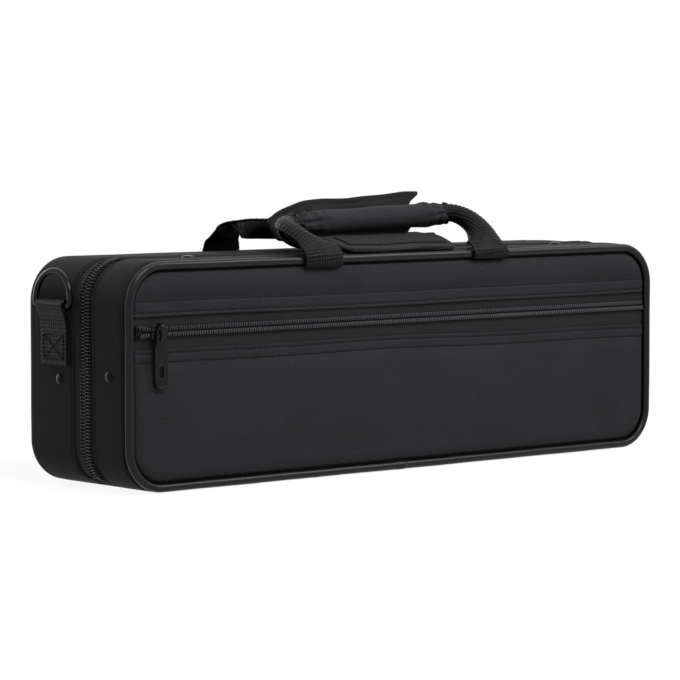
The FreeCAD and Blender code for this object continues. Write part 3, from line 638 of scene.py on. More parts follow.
def hook_and_loop_loops():
    """Brushed loop tape: a matt, fuzzy nap of fine nylon loops."""
    material, tree, shader = finish(
        "loop_tape_nylon", 0.9, specular_ior_level=0.1, sheen_weight=0.35, sheen_roughness=0.6,
    )
    lie = add(tree, "UVMap", uv_map="cloth").outputs[0]
    nap = add(tree, "TexNoise", {"Vector": lie, "Scale": 1.1, "Detail": 6.0, "Roughness": 0.75})
    colour = add(
        tree, "Mix", {0: nap.outputs["Fac"], 6: linear("#101011"), 7: linear("#2c2c2e")}, data_type="RGBA",
    )
    relief = add(tree, "Bump", {"Strength": 0.8, "Distance": 0.5 * MM, "Height": nap.outputs["Fac"]})
    tree.links.new(colour.outputs[2], shader.inputs["Base Color"])
    tree.links.new(relief.outputs[0], shader.inputs["Normal"])
    return material


def plush_velour():
    """Knitted velour with a short cut pile: matt from above, with a faint rim where the pile turns away."""
    material, tree, shader = finish(
        "plush_velour", 0.95, specular_ior_level=0.04, sheen_weight=0.25, sheen_roughness=0.5,
    )
    lie = add(tree, "UVMap", uv_map="cloth").outputs[0]
    pile = add(tree, "TexNoise", {"Vector": lie, "Scale": 1.6, "Detail": 5.0, "Roughness": 0.7})
    strokes = add(tree, "TexNoise", {"Vector": lie, "Scale": 0.03, "Detail": 2.0, "Distortion": 1.5})
    tone = add(tree, "Mix", {0: 0.5, 2: pile.outputs["Fac"], 3: strokes.outputs["Fac"]}).outputs[0]
    colour = add(tree, "Mix", {0: tone, 6: linear("#0d0d10"), 7: linear("#2a2a30")}, data_type="RGBA")
    relief = add(tree, "Bump", {"Strength": 0.6, "Distance": 0.4 * MM, "Height": pile.outputs["Fac"]})
    tree.links.new(colour.outputs[2], shader.inputs["Base Color"])
    tree.links.new(relief.outputs[0], shader.inputs["Normal"])
    return material


def nylon_lining():
    """Thin plain-woven nylon lining: finer than the outer cloth and a little shinier."""
    material, tree, shader = finish("nylon_lining", 0.5, specular_ior_level=0.25, sheen_weight=0.1)
    weave(tree, shader, ("#161618", "#29292c"), 0.7, 0.7, 0.06, bump=0.35)
    return material


def pressed_board():
    """Grey pressed fibre board, cut to shape: matt and flecked with fibres."""
    material, tree, shader = finish("pressed_board", 0.85, specular_ior_level=0.15)
    place = add(tree, "TexCoord").outputs["Object"]
    fibres = add(tree, "TexNoise", {"Vector": place, "Scale": 900.0, "Detail": 6.0, "Distortion": 1.0})
    colour = add(
        tree, "Mix", {0: fibres.outputs["Fac"], 6: linear("#2b2a28"), 7: linear("#4a4844")}, data_type="RGBA",
    )
    relief = add(tree, "Bump", {"Strength": 0.3, "Distance": 0.1 * MM, "Height": fibres.outputs["Fac"]})
    tree.links.new(colour.outputs[2], shader.inputs["Base Color"])
    tree.links.new(relief.outputs[0], shader.inputs["Normal"])
    return material


def cell_foam():
    """Charcoal polyethylene foam: small closed cells that show where it is cut."""
    material, tree, shader = finish("cell_foam", 0.9, specular_ior_level=0.1)
    lie = add(tree, "UVMap", uv_map="cloth").outputs[0]
    cells = add(tree, "TexVoronoi", {"Vector": lie, "Scale": 1.3}, feature="DISTANCE_TO_EDGE")
    colour = add(
        tree, "Mix", {0: cells.outputs["Distance"], 6: linear("#262628"), 7: linear("#101011")},
        data_type="RGBA",
    )
    relief = add(tree, "Bump", {"Strength": 0.6, "Distance": 0.4 * MM, "Height": cells.outputs["Distance"]})
    tree.links.new(colour.outputs[2], shader.inputs["Base Color"])
    tree.links.new(relief.outputs[0], shader.inputs["Normal"])
    return material


OXFORD = oxford_polyester()
# The gusset cloth is a darker copy of the oxford cloth, whose lower colours are painted shade.
GUSSET_PAINTED_SHADE = gusset_polyester_painted_shade()
WEBBING = polypropylene_webbing()
PIPE_COVER = vinyl_piping()
TAPE = zip_tape()
# One coil in two copies: the main zip's darker colours are painted shade, the pocket zip's lighter colours
# are painted light.
MAIN_COIL_PAINTED_SHADE = nylon_coil("nylon_coil_painted_shade", "#0e0e10", "#26262a")
POCKET_COIL_PAINTED_LIGHT = nylon_coil("nylon_coil_painted_light", "#2e2e31", "#68686c")
ENAMEL = painted_zinc()
RIVET = black_nickel()
RING_WIRE = enamelled_wire()
THREAD = polyester_thread()
HOOKS = hook_and_loop_hooks()
LOOPS = hook_and_loop_loops()
PLUSH = plush_velour()
LINING = nylon_lining()
BOARD = pressed_board()
FOAM = cell_foam()

# The stiff boards keep their CAD shape
for node in ("base_board", "lid_board"):
    board = frame["nodes"][node]
    board.data.materials.clear()
    board.data.materials.append(BOARD)

# Shapes round the case


def rim_frame(runs):
    """Corner centres and outward directions of the outline, at runs from the middle of the bottom.

    The runs go left along the bottom, up the left end, over the top and down the right end.
    """
    runs = np.asarray(runs, float) % ROUND
    facing = np.radians(np.interp(runs, RUN_STOPS, FACING))
    flat = np.zeros_like(runs)
    centres = np.stack([np.interp(runs, RUN_STOPS, CENTRE_X), flat, np.interp(runs, RUN_STOPS, CENTRE_Z)], -1)
    return centres, np.stack([np.cos(facing), flat, np.sin(facing)], -1)


def around_case(runs, depths, margins):
    """A grid of points at depths and margins in from the outline, with one row of points for each run."""
    centres, outs = rim_frame(runs)
    depths = np.broadcast_to(depths, (len(runs), np.shape(depths)[-1]))
    margins = np.broadcast_to(margins, depths.shape)
    grid = centres[:, None] + outs[:, None] * (CORNER - margins)[..., None]
    grid[..., Y] = depths
    return grid


def swell(runs):
    """How far the cloth round the case stands out, in a slow wave that dies out towards the bottom."""
    lift = smoothstep(ARCH_START, ARCH_START + 60, runs) * smoothstep(ARCH_STOP, ARCH_STOP - 60, runs)
    return 0.3 * lift * (np.sin(runs / 41) + 0.6 * np.sin(runs / 23 + 1.0))


ARCH_RUNS = steps(ARCH_START, 2.6, ARCH_STOP)
BOTTOM_RUNS = np.concatenate([steps(ARCH_STOP, 4.0, ROUND)[:-1], steps(ROUND, 4.0, ROUND + ARCH_START)])


def gusset_profile(width, bulge, hidden_edge=True):
    """Distances from the piping's seam, and margins, of a gusset that tucks in there and folds at the zip."""
    distance = steps(-0.8, 0.4, 0.4, 0.7, 3, 2.5, width - 4, 0.5, width)
    tuck = 2.4 * (1 - smoothstep(-0.9, 1.9, distance))
    crown = bulge * np.sin(math.pi * np.clip(distance / width, 0, 1))
    groove = 0.22 * np.exp(-((distance - (width - 2.4)) / 0.55) ** 2)
    fold = 0.4 * smoothstep(width - 0.7, width, distance) if hidden_edge else 0
    return distance, tuck - crown + groove + fold


def gusset_cloth(name, seam, edge, runs, body, node, bulge=0.45):
    """A band of cloth from the piping of one face to the edge beside the zip."""
    distance, margins = gusset_profile(abs(edge - seam), bulge)
    depths = seam + distance * np.sign(edge - seam)
    order = np.argsort(depths)
    margins = margins[order][None, :] - swell(runs)[:, None]
    grid = around_case(runs, depths[order], margins)
    return fit(cloth_piece(name, grid, 0.9), GUSSET_PAINTED_SHADE, "oxford_cloth", body, node)


LID_SEAM = span("lid_gusset", Y)[0]
LID_EDGE = span("lid_gusset", Y)[1]
BASE_SEAM = span("base_gusset", Y)[1]
BASE_EDGE = span("base_gusset", Y)[0]
gusset_cloth("lid_gusset_cloth", LID_SEAM, LID_EDGE, ARCH_RUNS, "lid", "lid_gusset")
gusset_cloth("base_gusset_cloth", BASE_SEAM, BASE_EDGE, ARCH_RUNS, "base", "base_gusset")


def bottom_cloth(name, seam, edge, body, node):
    """The cloth under the case, which lies flat on whatever it stands on."""
    distance, margins = gusset_profile(abs(edge - seam), 0.0)
    depths = seam + distance * np.sign(edge - seam)
    order = np.argsort(depths)
    grid = around_case(BOTTOM_RUNS, depths[order], margins[order])
    return fit(cloth_piece(name, grid, 0.9), GUSSET_PAINTED_SHADE, "oxford_cloth", body, node)


HINGE_REACH = 5.0
bottom_cloth("lid_bottom_cloth", LID_SEAM, PARTING - HINGE_REACH, "lid", "lid_hinge_gusset")
bottom_cloth("base_bottom_cloth", BASE_SEAM, PARTING + HINGE_REACH, "base", "base_hinge_gusset")

# The cloth hinge crosses from the base to the lid under the case
hinge_depths = PARTING + steps(-HINGE_REACH - 2, 1.5, -3, 0.5, 3, 1.5, HINGE_REACH + 2)
hinge_margins = 0.05 + 0.9 * smoothstep(HINGE_REACH - 1.2, HINGE_REACH, np.abs(hinge_depths - PARTING))
hinge_cloth = cloth_piece("bottom_hinge_cloth", around_case(BOTTOM_RUNS, hinge_depths, hinge_margins), 0.7)
fit(hinge_cloth, GUSSET_PAINTED_SHADE, "oxford_cloth", None)
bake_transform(hinge_cloth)


def piping_cord(name, node, side, body):
    """Vinyl over a cord, all round one face. It puckers inside the corners and laps over itself below."""
    low, high = span(node, Y)
    depth = (low + high) / 2
    radius = (high - low) / 2 - 0.2
    runs = steps(0, 0.5, 12, 1.6, ROUND)[:-1]
    centres, outs = rim_frame(runs)
    turn = np.linspace(0, 2 * math.pi, 22, endpoint=False)
    outward = np.cos(turn)[None, :]
    bend = np.abs(np.gradient(np.interp(runs, RUN_STOPS, FACING), runs)) > 0.3
    bend = np.convolve(bend.astype(float), np.ones(9) / 9, mode="same")[:, None]
    pucker = 0.16 * bend * np.cos(2 * math.pi * runs / 3.1)[:, None] * np.clip(0.3 - outward, 0, 1)
    lumps = (
        0.05 * np.sin(runs / 9.0)[:, None] * np.sin(turn + 1)[None, :]
        + 0.04 * np.sin(runs / 21.0 + 2)[:, None]
    )
    slant = 2.0 * np.sin(turn)[None, :]
    lap = smoothstep(0.5, 1.3, runs[:, None] - 2 + slant) * smoothstep(10.5, 8.5, runs[:, None] + slant)
    girth = radius - 0.08 + pucker + lumps + 0.3 * lap
    grid = centres[:, None] + outs[:, None] * (CORNER - radius + girth * outward)[..., None]
    grid[..., Y] = depth + girth * np.sin(turn)[None, :] * side
    grid[..., Z] = np.maximum(grid[..., Z], 0.02)
    return fit(tube_piece(name, grid, closed=True), PIPE_COVER, "piping_cover", body, node)


piping_cord("lid_piping_cord", "lid_piping", -1, "lid")
piping_cord("base_piping_cord", "base_piping", 1, "base")

# Main zip: a tape and a row of coil turns on each half


def zip_tape_cloth(name, node, body):
    low, high = span(node, Y)
    depths = steps(low, 1.2, high)
    near = np.minimum(np.abs(depths - PARTING), 6) / 6
    margins = (1.0 - 0.1 * near)[None, :] - swell(ARCH_RUNS)[:, None]
    grid = around_case(ARCH_RUNS, depths, margins)
    return fit(cloth_piece(name, grid, 0.6), TAPE, "zip_tape", body, node)


zip_tape_cloth("lid_zip_tape_cloth", "lid_zip_tape", "lid")
zip_tape_cloth("base_zip_tape_cloth", "base_zip_tape", "base")

MAIN_PITCH = 1.95


def arch_places(start, stop, pitch, depth, margin, shift=0.0):
    """Places along the arch at one depth: origin, along it, across it (+Y) and out of it."""
    runs = np.arange(start + shift, stop, pitch)
    centres, outs = rim_frame(runs)
    origins = centres + outs * (CORNER - margin + swell(runs))[:, None]
    origins[:, Y] = depth
    across = np.broadcast_to([0.0, 1.0, 0.0], outs.shape)
    return np.stack([origins, np.cross(across, outs), across, outs], axis=1)


def main_teeth(name, node, side, shift, body):
    """One row of the main zip's coil: flat turns whose heads reach between those of the other row."""
    low, high = span(node, Y)
    near, far = (low, high) if side > 0 else (high, low)
    length = abs(far - near) + 0.7
    middle = (near - side * 0.45 + far - side * 0.1) / 2
    places = arch_places(ARCH_START + 1, ARCH_STOP - 1, MAIN_PITCH, middle, -0.02, shift)
    turned = places.copy()
    turned[:, 1] = places[:, 2] * -side
    turned[:, 2] = np.cross(places[:, 3], turned[:, 1])
    fit(
        scatter_piece(name, pill_shape(length, 1.25, 1.5, head=0.86), turned), MAIN_COIL_PAINTED_SHADE, "zip_coil", body,
        node,
    )
    thread = arch_places(
        ARCH_START + 1, ARCH_STOP - 1, MAIN_PITCH, far - side * 1.3, -0.72, shift + MAIN_PITCH / 2,
    )
    fit(
        scatter_piece(f"{name}_sewing", pill_shape(MAIN_PITCH * 0.8, 0.7, 0.5), thread), THREAD,
        "oxford_cloth", body,
    )


main_teeth("lid_zip_teeth", "lid_zip_coil", -1, 0.0, "lid")
main_teeth("base_zip_teeth", "base_zip_coil", 1, MAIN_PITCH / 2, "base")

# Faces


def face_half(heights, margin):
    """Half of a face's width at some heights, inside a margin."""
    radius = CORNER - margin
    past = np.maximum(np.maximum(CORNER - heights, heights - (TOP - CORNER)), 0)
    return STRAIGHT + np.sqrt(np.maximum(radius ** 2 - past ** 2, 0))


def edge_distance(x, z, margin):
    """How far a place on a face lies inside a margin from the outline."""
    over_x = np.abs(x) - STRAIGHT
    over_z = np.abs(z - TOP / 2) - (TOP / 2 - CORNER)
    corner = np.hypot(np.maximum(over_x, 0), np.maximum(over_z, 0))
    return CORNER - margin - corner - np.minimum(np.maximum(over_x, over_z), 0)


def face_grid(low_edge, high_edge, heights, margin):
    """Places (x, z) over part of a face. Its edges are functions of x, heights are shares between them."""
    shares = steps(0, 0.0012, 0.01, 0.004, 0.05, 0.0075, 0.95, 0.004, 0.99, 0.0012, 1) * 2 - 1
    rough_x = shares * (HALF - margin)
    low = low_edge(rough_x)[:, None]
    high = high_edge(rough_x)[:, None]
    z = low + (high - low) * heights[None, :]
    return shares[:, None] * face_half(z, margin), z


def rolled(distance, depth, radius=2.4):
    """How far a face's cloth turns in towards the seam under the piping."""
    return depth * (1 - smoothstep(0, radius, distance)) ** 1.5


TUCK_MARGIN = PANEL_MARGIN - 0.5
TUCK_DEPTH = 2.0


def face_depth(x, z, crown):
    """How deep the front cloth lies at some places. crown gives how far it stands out there."""
    return FRONT + rolled(edge_distance(x, z, TUCK_MARGIN), TUCK_DEPTH) - crown(x, z)


def face_cloth(name, low_edge, high_edge, heights, crown, thickness):
    x, z = face_grid(low_edge, high_edge, heights, TUCK_MARGIN)
    grid = np.stack([x, face_depth(x, z, crown), z], -1)
    return cloth_piece(name, grid, thickness, coords=np.stack([x, z], -1))


def level(height):
    return lambda x: np.full_like(x, height)


TOP_EDGE = span("pocket_top_panel", Z)[0]
HEM_EDGE = span("pocket_panel", Z)[1]
FACE_LOW = TUCK_MARGIN
FACE_HIGH = TOP - TUCK_MARGIN


def top_edge(x):
    """The lower edge of the top panel, which waves a little along the zip."""
    return TOP_EDGE + 0.25 * np.sin(x / 33) - 0.3 * np.sin(x / 71 + 1)


def hem_edge(x):
    """The upper edge of the pocket panel. It sags towards the right."""
    return HEM_EDGE - 2.2 * smoothstep(-60, 190, x) + 0.35 * np.sin(x / 27 + 2)


TOP_ROWS = (1.8, 8.0)
HEM_ROWS = (1.8, 7.0)


def stitch_groove(distance, rows, depth=0.45):
    return sum(depth * np.exp(-((distance - row) / 0.7) ** 2) for row in rows)


def top_crown(x, z):
    distance = z - top_edge(x)
    inside = edge_distance(x, z, TUCK_MARGIN)
    pillow = 1.3 * smoothstep(TOP_ROWS[1], TOP_ROWS[1] + 7, distance) * smoothstep(0.5, 7, inside)
    hem = 0.35 * smoothstep(TOP_ROWS[1] + 1.0, TOP_ROWS[1] - 0.6, distance)
    waves = 0.25 * np.sin(x / 29 + 0.4) * smoothstep(0, 12, inside)
    return pillow + hem + waves - stitch_groove(distance, TOP_ROWS)


def pocket_crown(x, z):
    distance = hem_edge(x) - z
    inside = edge_distance(x, z, TUCK_MARGIN)
    pillow = 1.1 * smoothstep(0.5, 6, inside) * smoothstep(HEM_ROWS[1] - 2, HEM_ROWS[1] + 8, distance)
    pillow = pillow + 1.2 * smoothstep(4, 30, inside) * smoothstep(HEM_ROWS[1], HEM_ROWS[1] + 30, distance)
    hem = 0.4 * smoothstep(HEM_ROWS[1] + 1.0, HEM_ROWS[1] - 0.6, distance)
    drag = 0.35 * np.sin(x / 37 + z / 60) * smoothstep(0, 20, inside)
    ripples = 0.3 * np.sin(x / 12.5 + 0.5 * np.sin(x / 40)) * np.exp(-distance / 12)
    return pillow + hem + drag + ripples - stitch_groove(distance, HEM_ROWS)


top_heights = steps(0, 0.02, 0.5, 0.05, 0.9, 0.012, 1)
pocket_top_cloth = face_cloth("pocket_top_cloth", top_edge, level(FACE_HIGH), top_heights, top_crown, 1.0)
fit(pocket_top_cloth, OXFORD, "oxford_cloth", "lid", "pocket_top_panel")
front_heights = steps(0, 0.005, 0.05, 0.03, 0.86, 0.007, 1)
pocket_front_cloth = face_cloth(
    "pocket_front_cloth", level(FACE_LOW), hem_edge, front_heights, pocket_crown, 1.0,
)
fit(pocket_front_cloth, OXFORD, "oxford_cloth", "lid", "pocket_panel")

# The cloth behind the pocket
wall_low, wall_high = span("lid_wall_cover", Y)
x, z = face_grid(level(1.2), level(TOP - 1.2), steps(0, 0.04, 1), 1.2)
pocket_back = cloth_piece(
    "pocket_back_cloth", np.stack([x, np.full_like(x, wall_low), z], -1), wall_high - wall_low,
)
fit(pocket_back, LINING, "lining_cloth", "lid", "lid_wall_cover")

# The back panel lies over its padding, so it is crowned and held down at the seam
heights = steps(0, 0.006, 0.06, 0.03, 0.94, 0.006, 1)
x, z = face_grid(level(FACE_LOW), level(FACE_HIGH), heights, TUCK_MARGIN)
inside = edge_distance(x, z, TUCK_MARGIN)
puff = 1.7 * smoothstep(0, 22, inside) + 0.25 * np.sin(x / 45) * np.sin(z / 31) * smoothstep(0, 20, inside)
depth = BACK - rolled(inside, TUCK_DEPTH) + puff
back_grid = np.stack([-x, depth, z], -1)
back_cover = cloth_piece("base_back_cover", back_grid, 2.6, coords=np.stack([x, z], -1))
fit(back_cover, OXFORD, "oxford_cloth", "base", "base_back_panel", "base_back_padding")

# Pocket zip


def pocket_tape(name, node, low, high):
    """One tape of the pocket zip, flat under the panel's edge."""
    outer_face = span(node, Y)[0]
    x, z = face_grid(level(low), level(high), steps(0, 0.1, 1), PANEL_MARGIN)
    return fit(
        cloth_piece(
            name, np.stack([x, np.full_like(x, outer_face), z], -1), 0.6, coords=np.stack([x, z], -1),
        ),
        TAPE, "zip_tape", "lid", node,
    )


ZIP_HEIGHT = (span("pocket_coil_upper", Z)[0] + span("pocket_coil_lower", Z)[1]) / 2
pocket_tape("pocket_upper_tape", "pocket_tape_upper", ZIP_HEIGHT + 0.05, span("pocket_tape_upper", Z)[1])
pocket_tape("pocket_lower_tape", "pocket_tape_lower", span("pocket_tape_lower", Z)[0], ZIP_HEIGHT - 0.05)

POCKET_PITCH = 1.75


def pocket_teeth(name, node, side, shift):
    """One row of the pocket's coil. Left of the slider the two rows part a little."""
    left, right = span(node, X)
    low, high = span(node, Z)
    front, back = span(node, Y)
    places = []
    sewing = []
    for x in np.arange(left + 0.8 + shift, right - 0.6, POCKET_PITCH):
        apart = 0.7 * smoothstep(left + 8, left, x)
        middle = (low + high) / 2 + side * (apart + 0.25)
        sway = 0.05 * math.sin(x * 1.7)
        places.append((
            (x + sway, (front + back) / 2 - 0.1, middle), (0.12, 0, -side), (1, 0, 0.12 * side), (0, -1, 0),
        ))
        edge = middle + side * 1.15
        sewing.append(((x + POCKET_PITCH / 2, front + 0.75, edge), (1, 0, 0), (0, 0, 1), (0, -1, 0)))
    turns = scatter_piece(name, pill_shape(high - low - 0.35, 0.86, 1.8, head=0.8), places)
    threads = scatter_piece("threads", pill_shape(POCKET_PITCH * 0.75, 0.5, 0.45), sewing)
    core = np.array([(x, back - 0.75, (low + high) / 2 + side * 0.4) for x in np.arange(left, right, 2.0)])
    turn = np.linspace(0, 2 * math.pi, 8, endpoint=False)
    ring = np.stack([0 * turn, 0.45 * np.cos(turn), 0.75 * np.sin(turn)], -1)
    cord = tube_piece("cord", core[:, None] + ring)
    fit(joined(f"{name}_sewing", threads, cord), THREAD, "oxford_cloth", "lid")
    return fit(turns, POCKET_COIL_PAINTED_LIGHT, "zip_coil", "lid", node)


pocket_teeth("pocket_upper_teeth", "pocket_coil_upper", 1, 0.0)
pocket_teeth("pocket_lower_teeth", "pocket_coil_lower", -1, POCKET_PITCH / 2)

# The two stops at the open end are clips crimped over the coil's ends
stop_left, stop_right = span("pocket_stops", X)
stop_front, stop_back = span("pocket_stops", Y)
clip_places = []
for side in (-1, 1):
    middle = ((stop_left + stop_right) / 2, (stop_front + stop_back) / 2, ZIP_HEIGHT + side * 2.1)
    clip_places.append((middle, (0, 0, 1), (1, 0, 0), (0, -1, 0)))
clips = scatter_piece(
    "pocket_stop_clips", pill_shape(3.4, stop_right - stop_left, stop_back - stop_front), clip_places,
)
fit(clips, RIVET, "black_metal", "lid", "pocket_stops")

# Rivets


def rivet_caps(name, node, places, body):
    """Domed caps, each with a thin collar pressed into the cloth."""
    profile = [(0, 1.6)] + [(3.4 * math.sin(a), 0.25 + 1.35 * math.cos(a)) for a in np.radians(range(
        15, 91, 15,
    ))]
    profile += [(3.5, 0.05), (4.0, 0.1), (4.15, -0.1), (4.0, -0.5), (0, -0.5)]
    frames = []
    for origin, out in places:
        out = np.array(out, float)
        along = np.array([0.0, 1.0, 0.0])
        frames.append((origin, along, np.cross(out, along), out))
    return fit(scatter_piece(name, lathe_shape(profile, 20), frames), RIVET, "rivet_metal", body, node)


RIVET_RADIUS = 3.6
TOP_RIVET_INSET = 62.0
base_rivet_depth = sum(span("base_rivets", Y)) / 2
base_rivet_height = sum(span("base_rivets", Z)) / 2
lid_rivet_depth = span("lid_rivets", Y)[0] + RIVET_RADIUS
lid_rivet_height = span("lid_rivets", Z)[0] + RIVET_RADIUS
top_rivet_depth = span("lid_rivets", Y)[1] - RIVET_RADIUS
base_places = [((side * HALF, base_rivet_depth, base_rivet_height), (side, 0, 0)) for side in (-1, 1)]
lid_places = [((side * HALF, lid_rivet_depth, lid_rivet_height), (side, 0, 0)) for side in (-1, 1)]
lid_places += [((side * (HALF - TOP_RIVET_INSET), top_rivet_depth, TOP), (0, 0, 1)) for side in (-1, 1)]
rivet_caps("base_rivet_caps", "base_rivets", base_places, "base")
rivet_caps("lid_rivet_caps", "lid_rivets", lid_places, "lid")

# D-rings and their webbing tabs
RING_WIRE_SIZE = 3.5
RING_WIDTH = 36.5
RING_HEIGHT = 21.0
RING_CORNER = 2.2
TAB_WIDTH = 25.0
TAB_LAYER = 1.5


def d_ring(name, node, side, joint, body):
    """A D-ring of round wire about the middle of its bar, leaning on the case, with a small weld."""
    wire = RING_WIRE_SIZE / 2
    half = RING_WIDTH / 2 - wire
    crown = RING_HEIGHT - wire
    loop = [(y, 0) for y in np.linspace(0, half - RING_CORNER, 8)]
    loop += arc(half - RING_CORNER, RING_CORNER, RING_CORNER, -80, 0, 6)
    loop += arc(0, crown - half, half, 0, 180, 36)
    loop += arc(RING_CORNER - half, RING_CORNER, RING_CORNER, 180, 260, 6)
    loop += [(y, 0) for y in np.linspace(RING_CORNER - half, 0, 8)[:-1]]
    loop = np.array(loop)
    centres = np.stack([np.zeros(len(loop)), loop[:, 0], loop[:, 1]], -1)
    along = unit(np.roll(centres, -1, axis=0) - np.roll(centres, 1, axis=0))
    flat = np.broadcast_to([1.0, 0.0, 0.0], along.shape)
    side_way = np.cross(along, flat)
    turn = np.linspace(0, 2 * math.pi, 16, endpoint=False)
    weld = 1 + 0.09 * np.exp(-((np.arange(len(loop)) - 3) / 1.2) ** 2)
    ring = np.cos(turn)[None, :, None] * flat[:, None] + np.sin(turn)[None, :, None] * side_way[:, None]
    piece = tube_piece(name, centres[:, None] + ring * wire * weld[:, None, None], closed=True)
    lean = math.asin((TAB_LAYER - 0.25) / crown)
    piece.data.transform(Matrix.Rotation(-side * lean, 4, "Y"))
    piece.data.transform(Matrix.Translation(Vector(pin(joint) * MM)))
    return fit(piece, RING_WIRE, "ring_metal", body, node)


def tab_webbing(name, node, side, joint):
    """Webbing sewn to the end of the case and folded over the ring's bar."""
    bar = pin(joint)
    out = abs(bar[X]) - HALF
    low = span(node, Z)[0]
    bore = RING_WIRE_SIZE / 2 + 0.05 + TAB_LAYER
    stops = [
        (2.95, low), (3.05, low + 8), (3.0, low + 16), (3.15, low + 22), (3.9, low + 26),
        (out + bore - 0.7, bar[Z] - 3),
    ]
    stops += [(out + px, bar[Z] + pz) for px, pz in arc(0, 0, bore, -10, 175, 9)]
    stops += [(0.05, bar[Z] - 6), (0.05, bar[Z] - 16), (0.05, low)]
    path = smooth_path([(o, 0, h) for o, h in stops], 0.5)
    across = np.linspace(-TAB_WIDTH / 2, TAB_WIDTH / 2, 51) * -side
    runs = np.arange(len(path)) * 0.5
    grid = np.zeros((len(path), len(across), 3))
    rib = (
        0.2 * np.cos(math.pi * runs / WEBBING_ROW)[:, None] ** 2
        * np.cos(math.pi * across / WEBBING_COLUMN)[None, :] ** 2
    )
    sag = 0.35 * np.cos(math.pi * across / TAB_WIDTH)[None, :] * smoothstep(30, 40, runs)[:, None]
    sag = sag * smoothstep(60, 48, runs)[:, None]
    grid[..., X] = side * (HALF + path[:, :1] + rib - 0.3 * sag)
    grid[..., Y] = bar[Y] + across[None, :]
    grid[..., Z] = path[:, 2:3]
    return fit(cloth_piece(name, grid, 1.3), WEBBING, "webbing", "base", node)


for word, side in (("left", -1), ("right", 1)):
    d_ring(f"{word}_d_ring", f"{word}_ring", side, f"{word}_ring_swing", f"{word}_ring")
    tab_webbing(f"{word}_tab_webbing", f"{word}_ring_tab", side, f"{word}_ring_swing")

# Handles
WEBBING_WIDTH = 28.0
WEBBING_THICK = 1.6
LEG_SPREAD = 67.0
REAR_REACH = 21.0


def webbing_strap(name, stops, lean, flip, node):
    """A strap of webbing, whose feet stay sewn to their half of the case.

    Each stop gives its place, how far it is rolled up across, and how far it has turned from lying flat
    along the case, both as angles.
    """
    path = smooth_path(stops, 0.5)
    centres = path[:, :3]
    along = unit(np.gradient(centres, axis=0))
    roll = np.radians(np.maximum(path[:, 3], 3))[:, None]
    turn = np.radians(path[:, 4])[:, None]
    side = np.sign(np.where(np.abs(centres[:, :1]) < 1, 1, centres[:, :1]))
    upright = np.array([0, -math.cos(lean), math.sin(lean)])[None, :]
    wide = (np.array([[1.0, 0, 0]]) * np.cos(turn) * side + upright * np.sin(turn)) * flip
    wide = unit(wide - along * np.sum(wide * along, axis=1, keepdims=True))
    out = np.cross(along, wide)
    width = np.linspace(-WEBBING_WIDTH / 2, WEBBING_WIDTH / 2, 57)
    bend = WEBBING_WIDTH / 2 / roll
    angle = width[None, :] / bend
    runs = np.arange(len(path))[:, None] * 0.5
    rows = np.cos(math.pi * runs / WEBBING_ROW) ** 2
    columns = np.cos(math.pi * width[None, :] / WEBBING_COLUMN) ** 2
    ribs = 0.34 * rows * columns - 0.12
    edge = np.minimum(1, (WEBBING_WIDTH / 2 - np.abs(width)) / 1.2)[None, :]
    reach = bend + WEBBING_THICK / 2 + ribs * edge - 0.2 * (1 - edge)
    across = np.sin(angle) * reach
    lift = np.cos(angle) * reach - bend * np.sin(roll) / roll
    grid = centres[:, None] + wide[:, None] * across[..., None] + out[:, None] * lift[..., None]
    piece = cloth_piece(name, grid, WEBBING_THICK)
    fit(piece, WEBBING, "webbing", None, node)
    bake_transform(piece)


# Stops of the two front legs, from the seam under the piping up to the grip. The left one has slumped
# outward and is crumpled where it meets the grip.
LEFT_LEG = (
    (-67.2, -47.2, 123.6, 4, 0), (-67.2, -48.5, 125.4, 4, 0), (-67.4, -48.7, 129.4, 6, 0),
    (-67.8, -46.2, 134.0, 8, 2),
    (-69.6, -41.0, 138.6, 38, 10), (-72.6, -32.5, 142.2, 84, 30), (-73.4, -23.5, 144.8, 128, 54),
    (-68.5, -15.5, 146.4, 160, 74), (-60.0, -11.2, 146.8, 172, 86), (-51.0, -9.9, 147.2, 172, 90),
)
RIGHT_LEG = (
    (67.0, -47.2, 124.8, 4, 0), (67.0, -48.5, 126.6, 4, 0), (66.8, -48.7, 129.4, 6, 0),
    (67.0, -46.0, 133.4, 14, 4),
    (68.6, -40.2, 138.4, 74, 16), (70.2, -31.0, 144.0, 125, 38), (69.4, -22.0, 148.6, 155, 62),
    (66.0, -14.6, 151.2, 172, 80), (61.0, -10.6, 151.2, 176, 90), (55.0, -9.8, 150.6, 176, 90),
)
front_stops = LEFT_LEG + RIGHT_LEG[::-1]
webbing_strap("front_webbing", front_stops, math.radians(90), 1, "front_handle_strap")


def rear_leg(side):
    foot = pin("rear_handle_swing")
    rise = 18.0
    shares = (
        (1.00, 0.10, -0.22, 4, 0), (1.00, 0.01, -0.08, 4, 0), (1.00, -0.005, 0.10, 4, 0),
        (1.00, 0.01, 0.34, 5, 2),
        (1.00, 0.06, 0.62, 6, 12), (0.985, 0.27, 0.90, 8, 44), (0.92, 0.62, 1.02, 12, 72),
        (0.72, 0.94, 1.04, 18, 88),
        (0.34, 1.00, 1.02, 24, 90),
    )
    return [
        (side * across * LEG_SPREAD, foot[Y] - back * REAR_REACH, foot[Z] + up * rise, roll, turn)
        for across, back, up, roll, turn in shares
    ]


rear_stops = rear_leg(-1) + rear_leg(1)[::-1]
webbing_strap("rear_webbing", rear_stops, math.radians(25), -1, "rear_handle_strap")

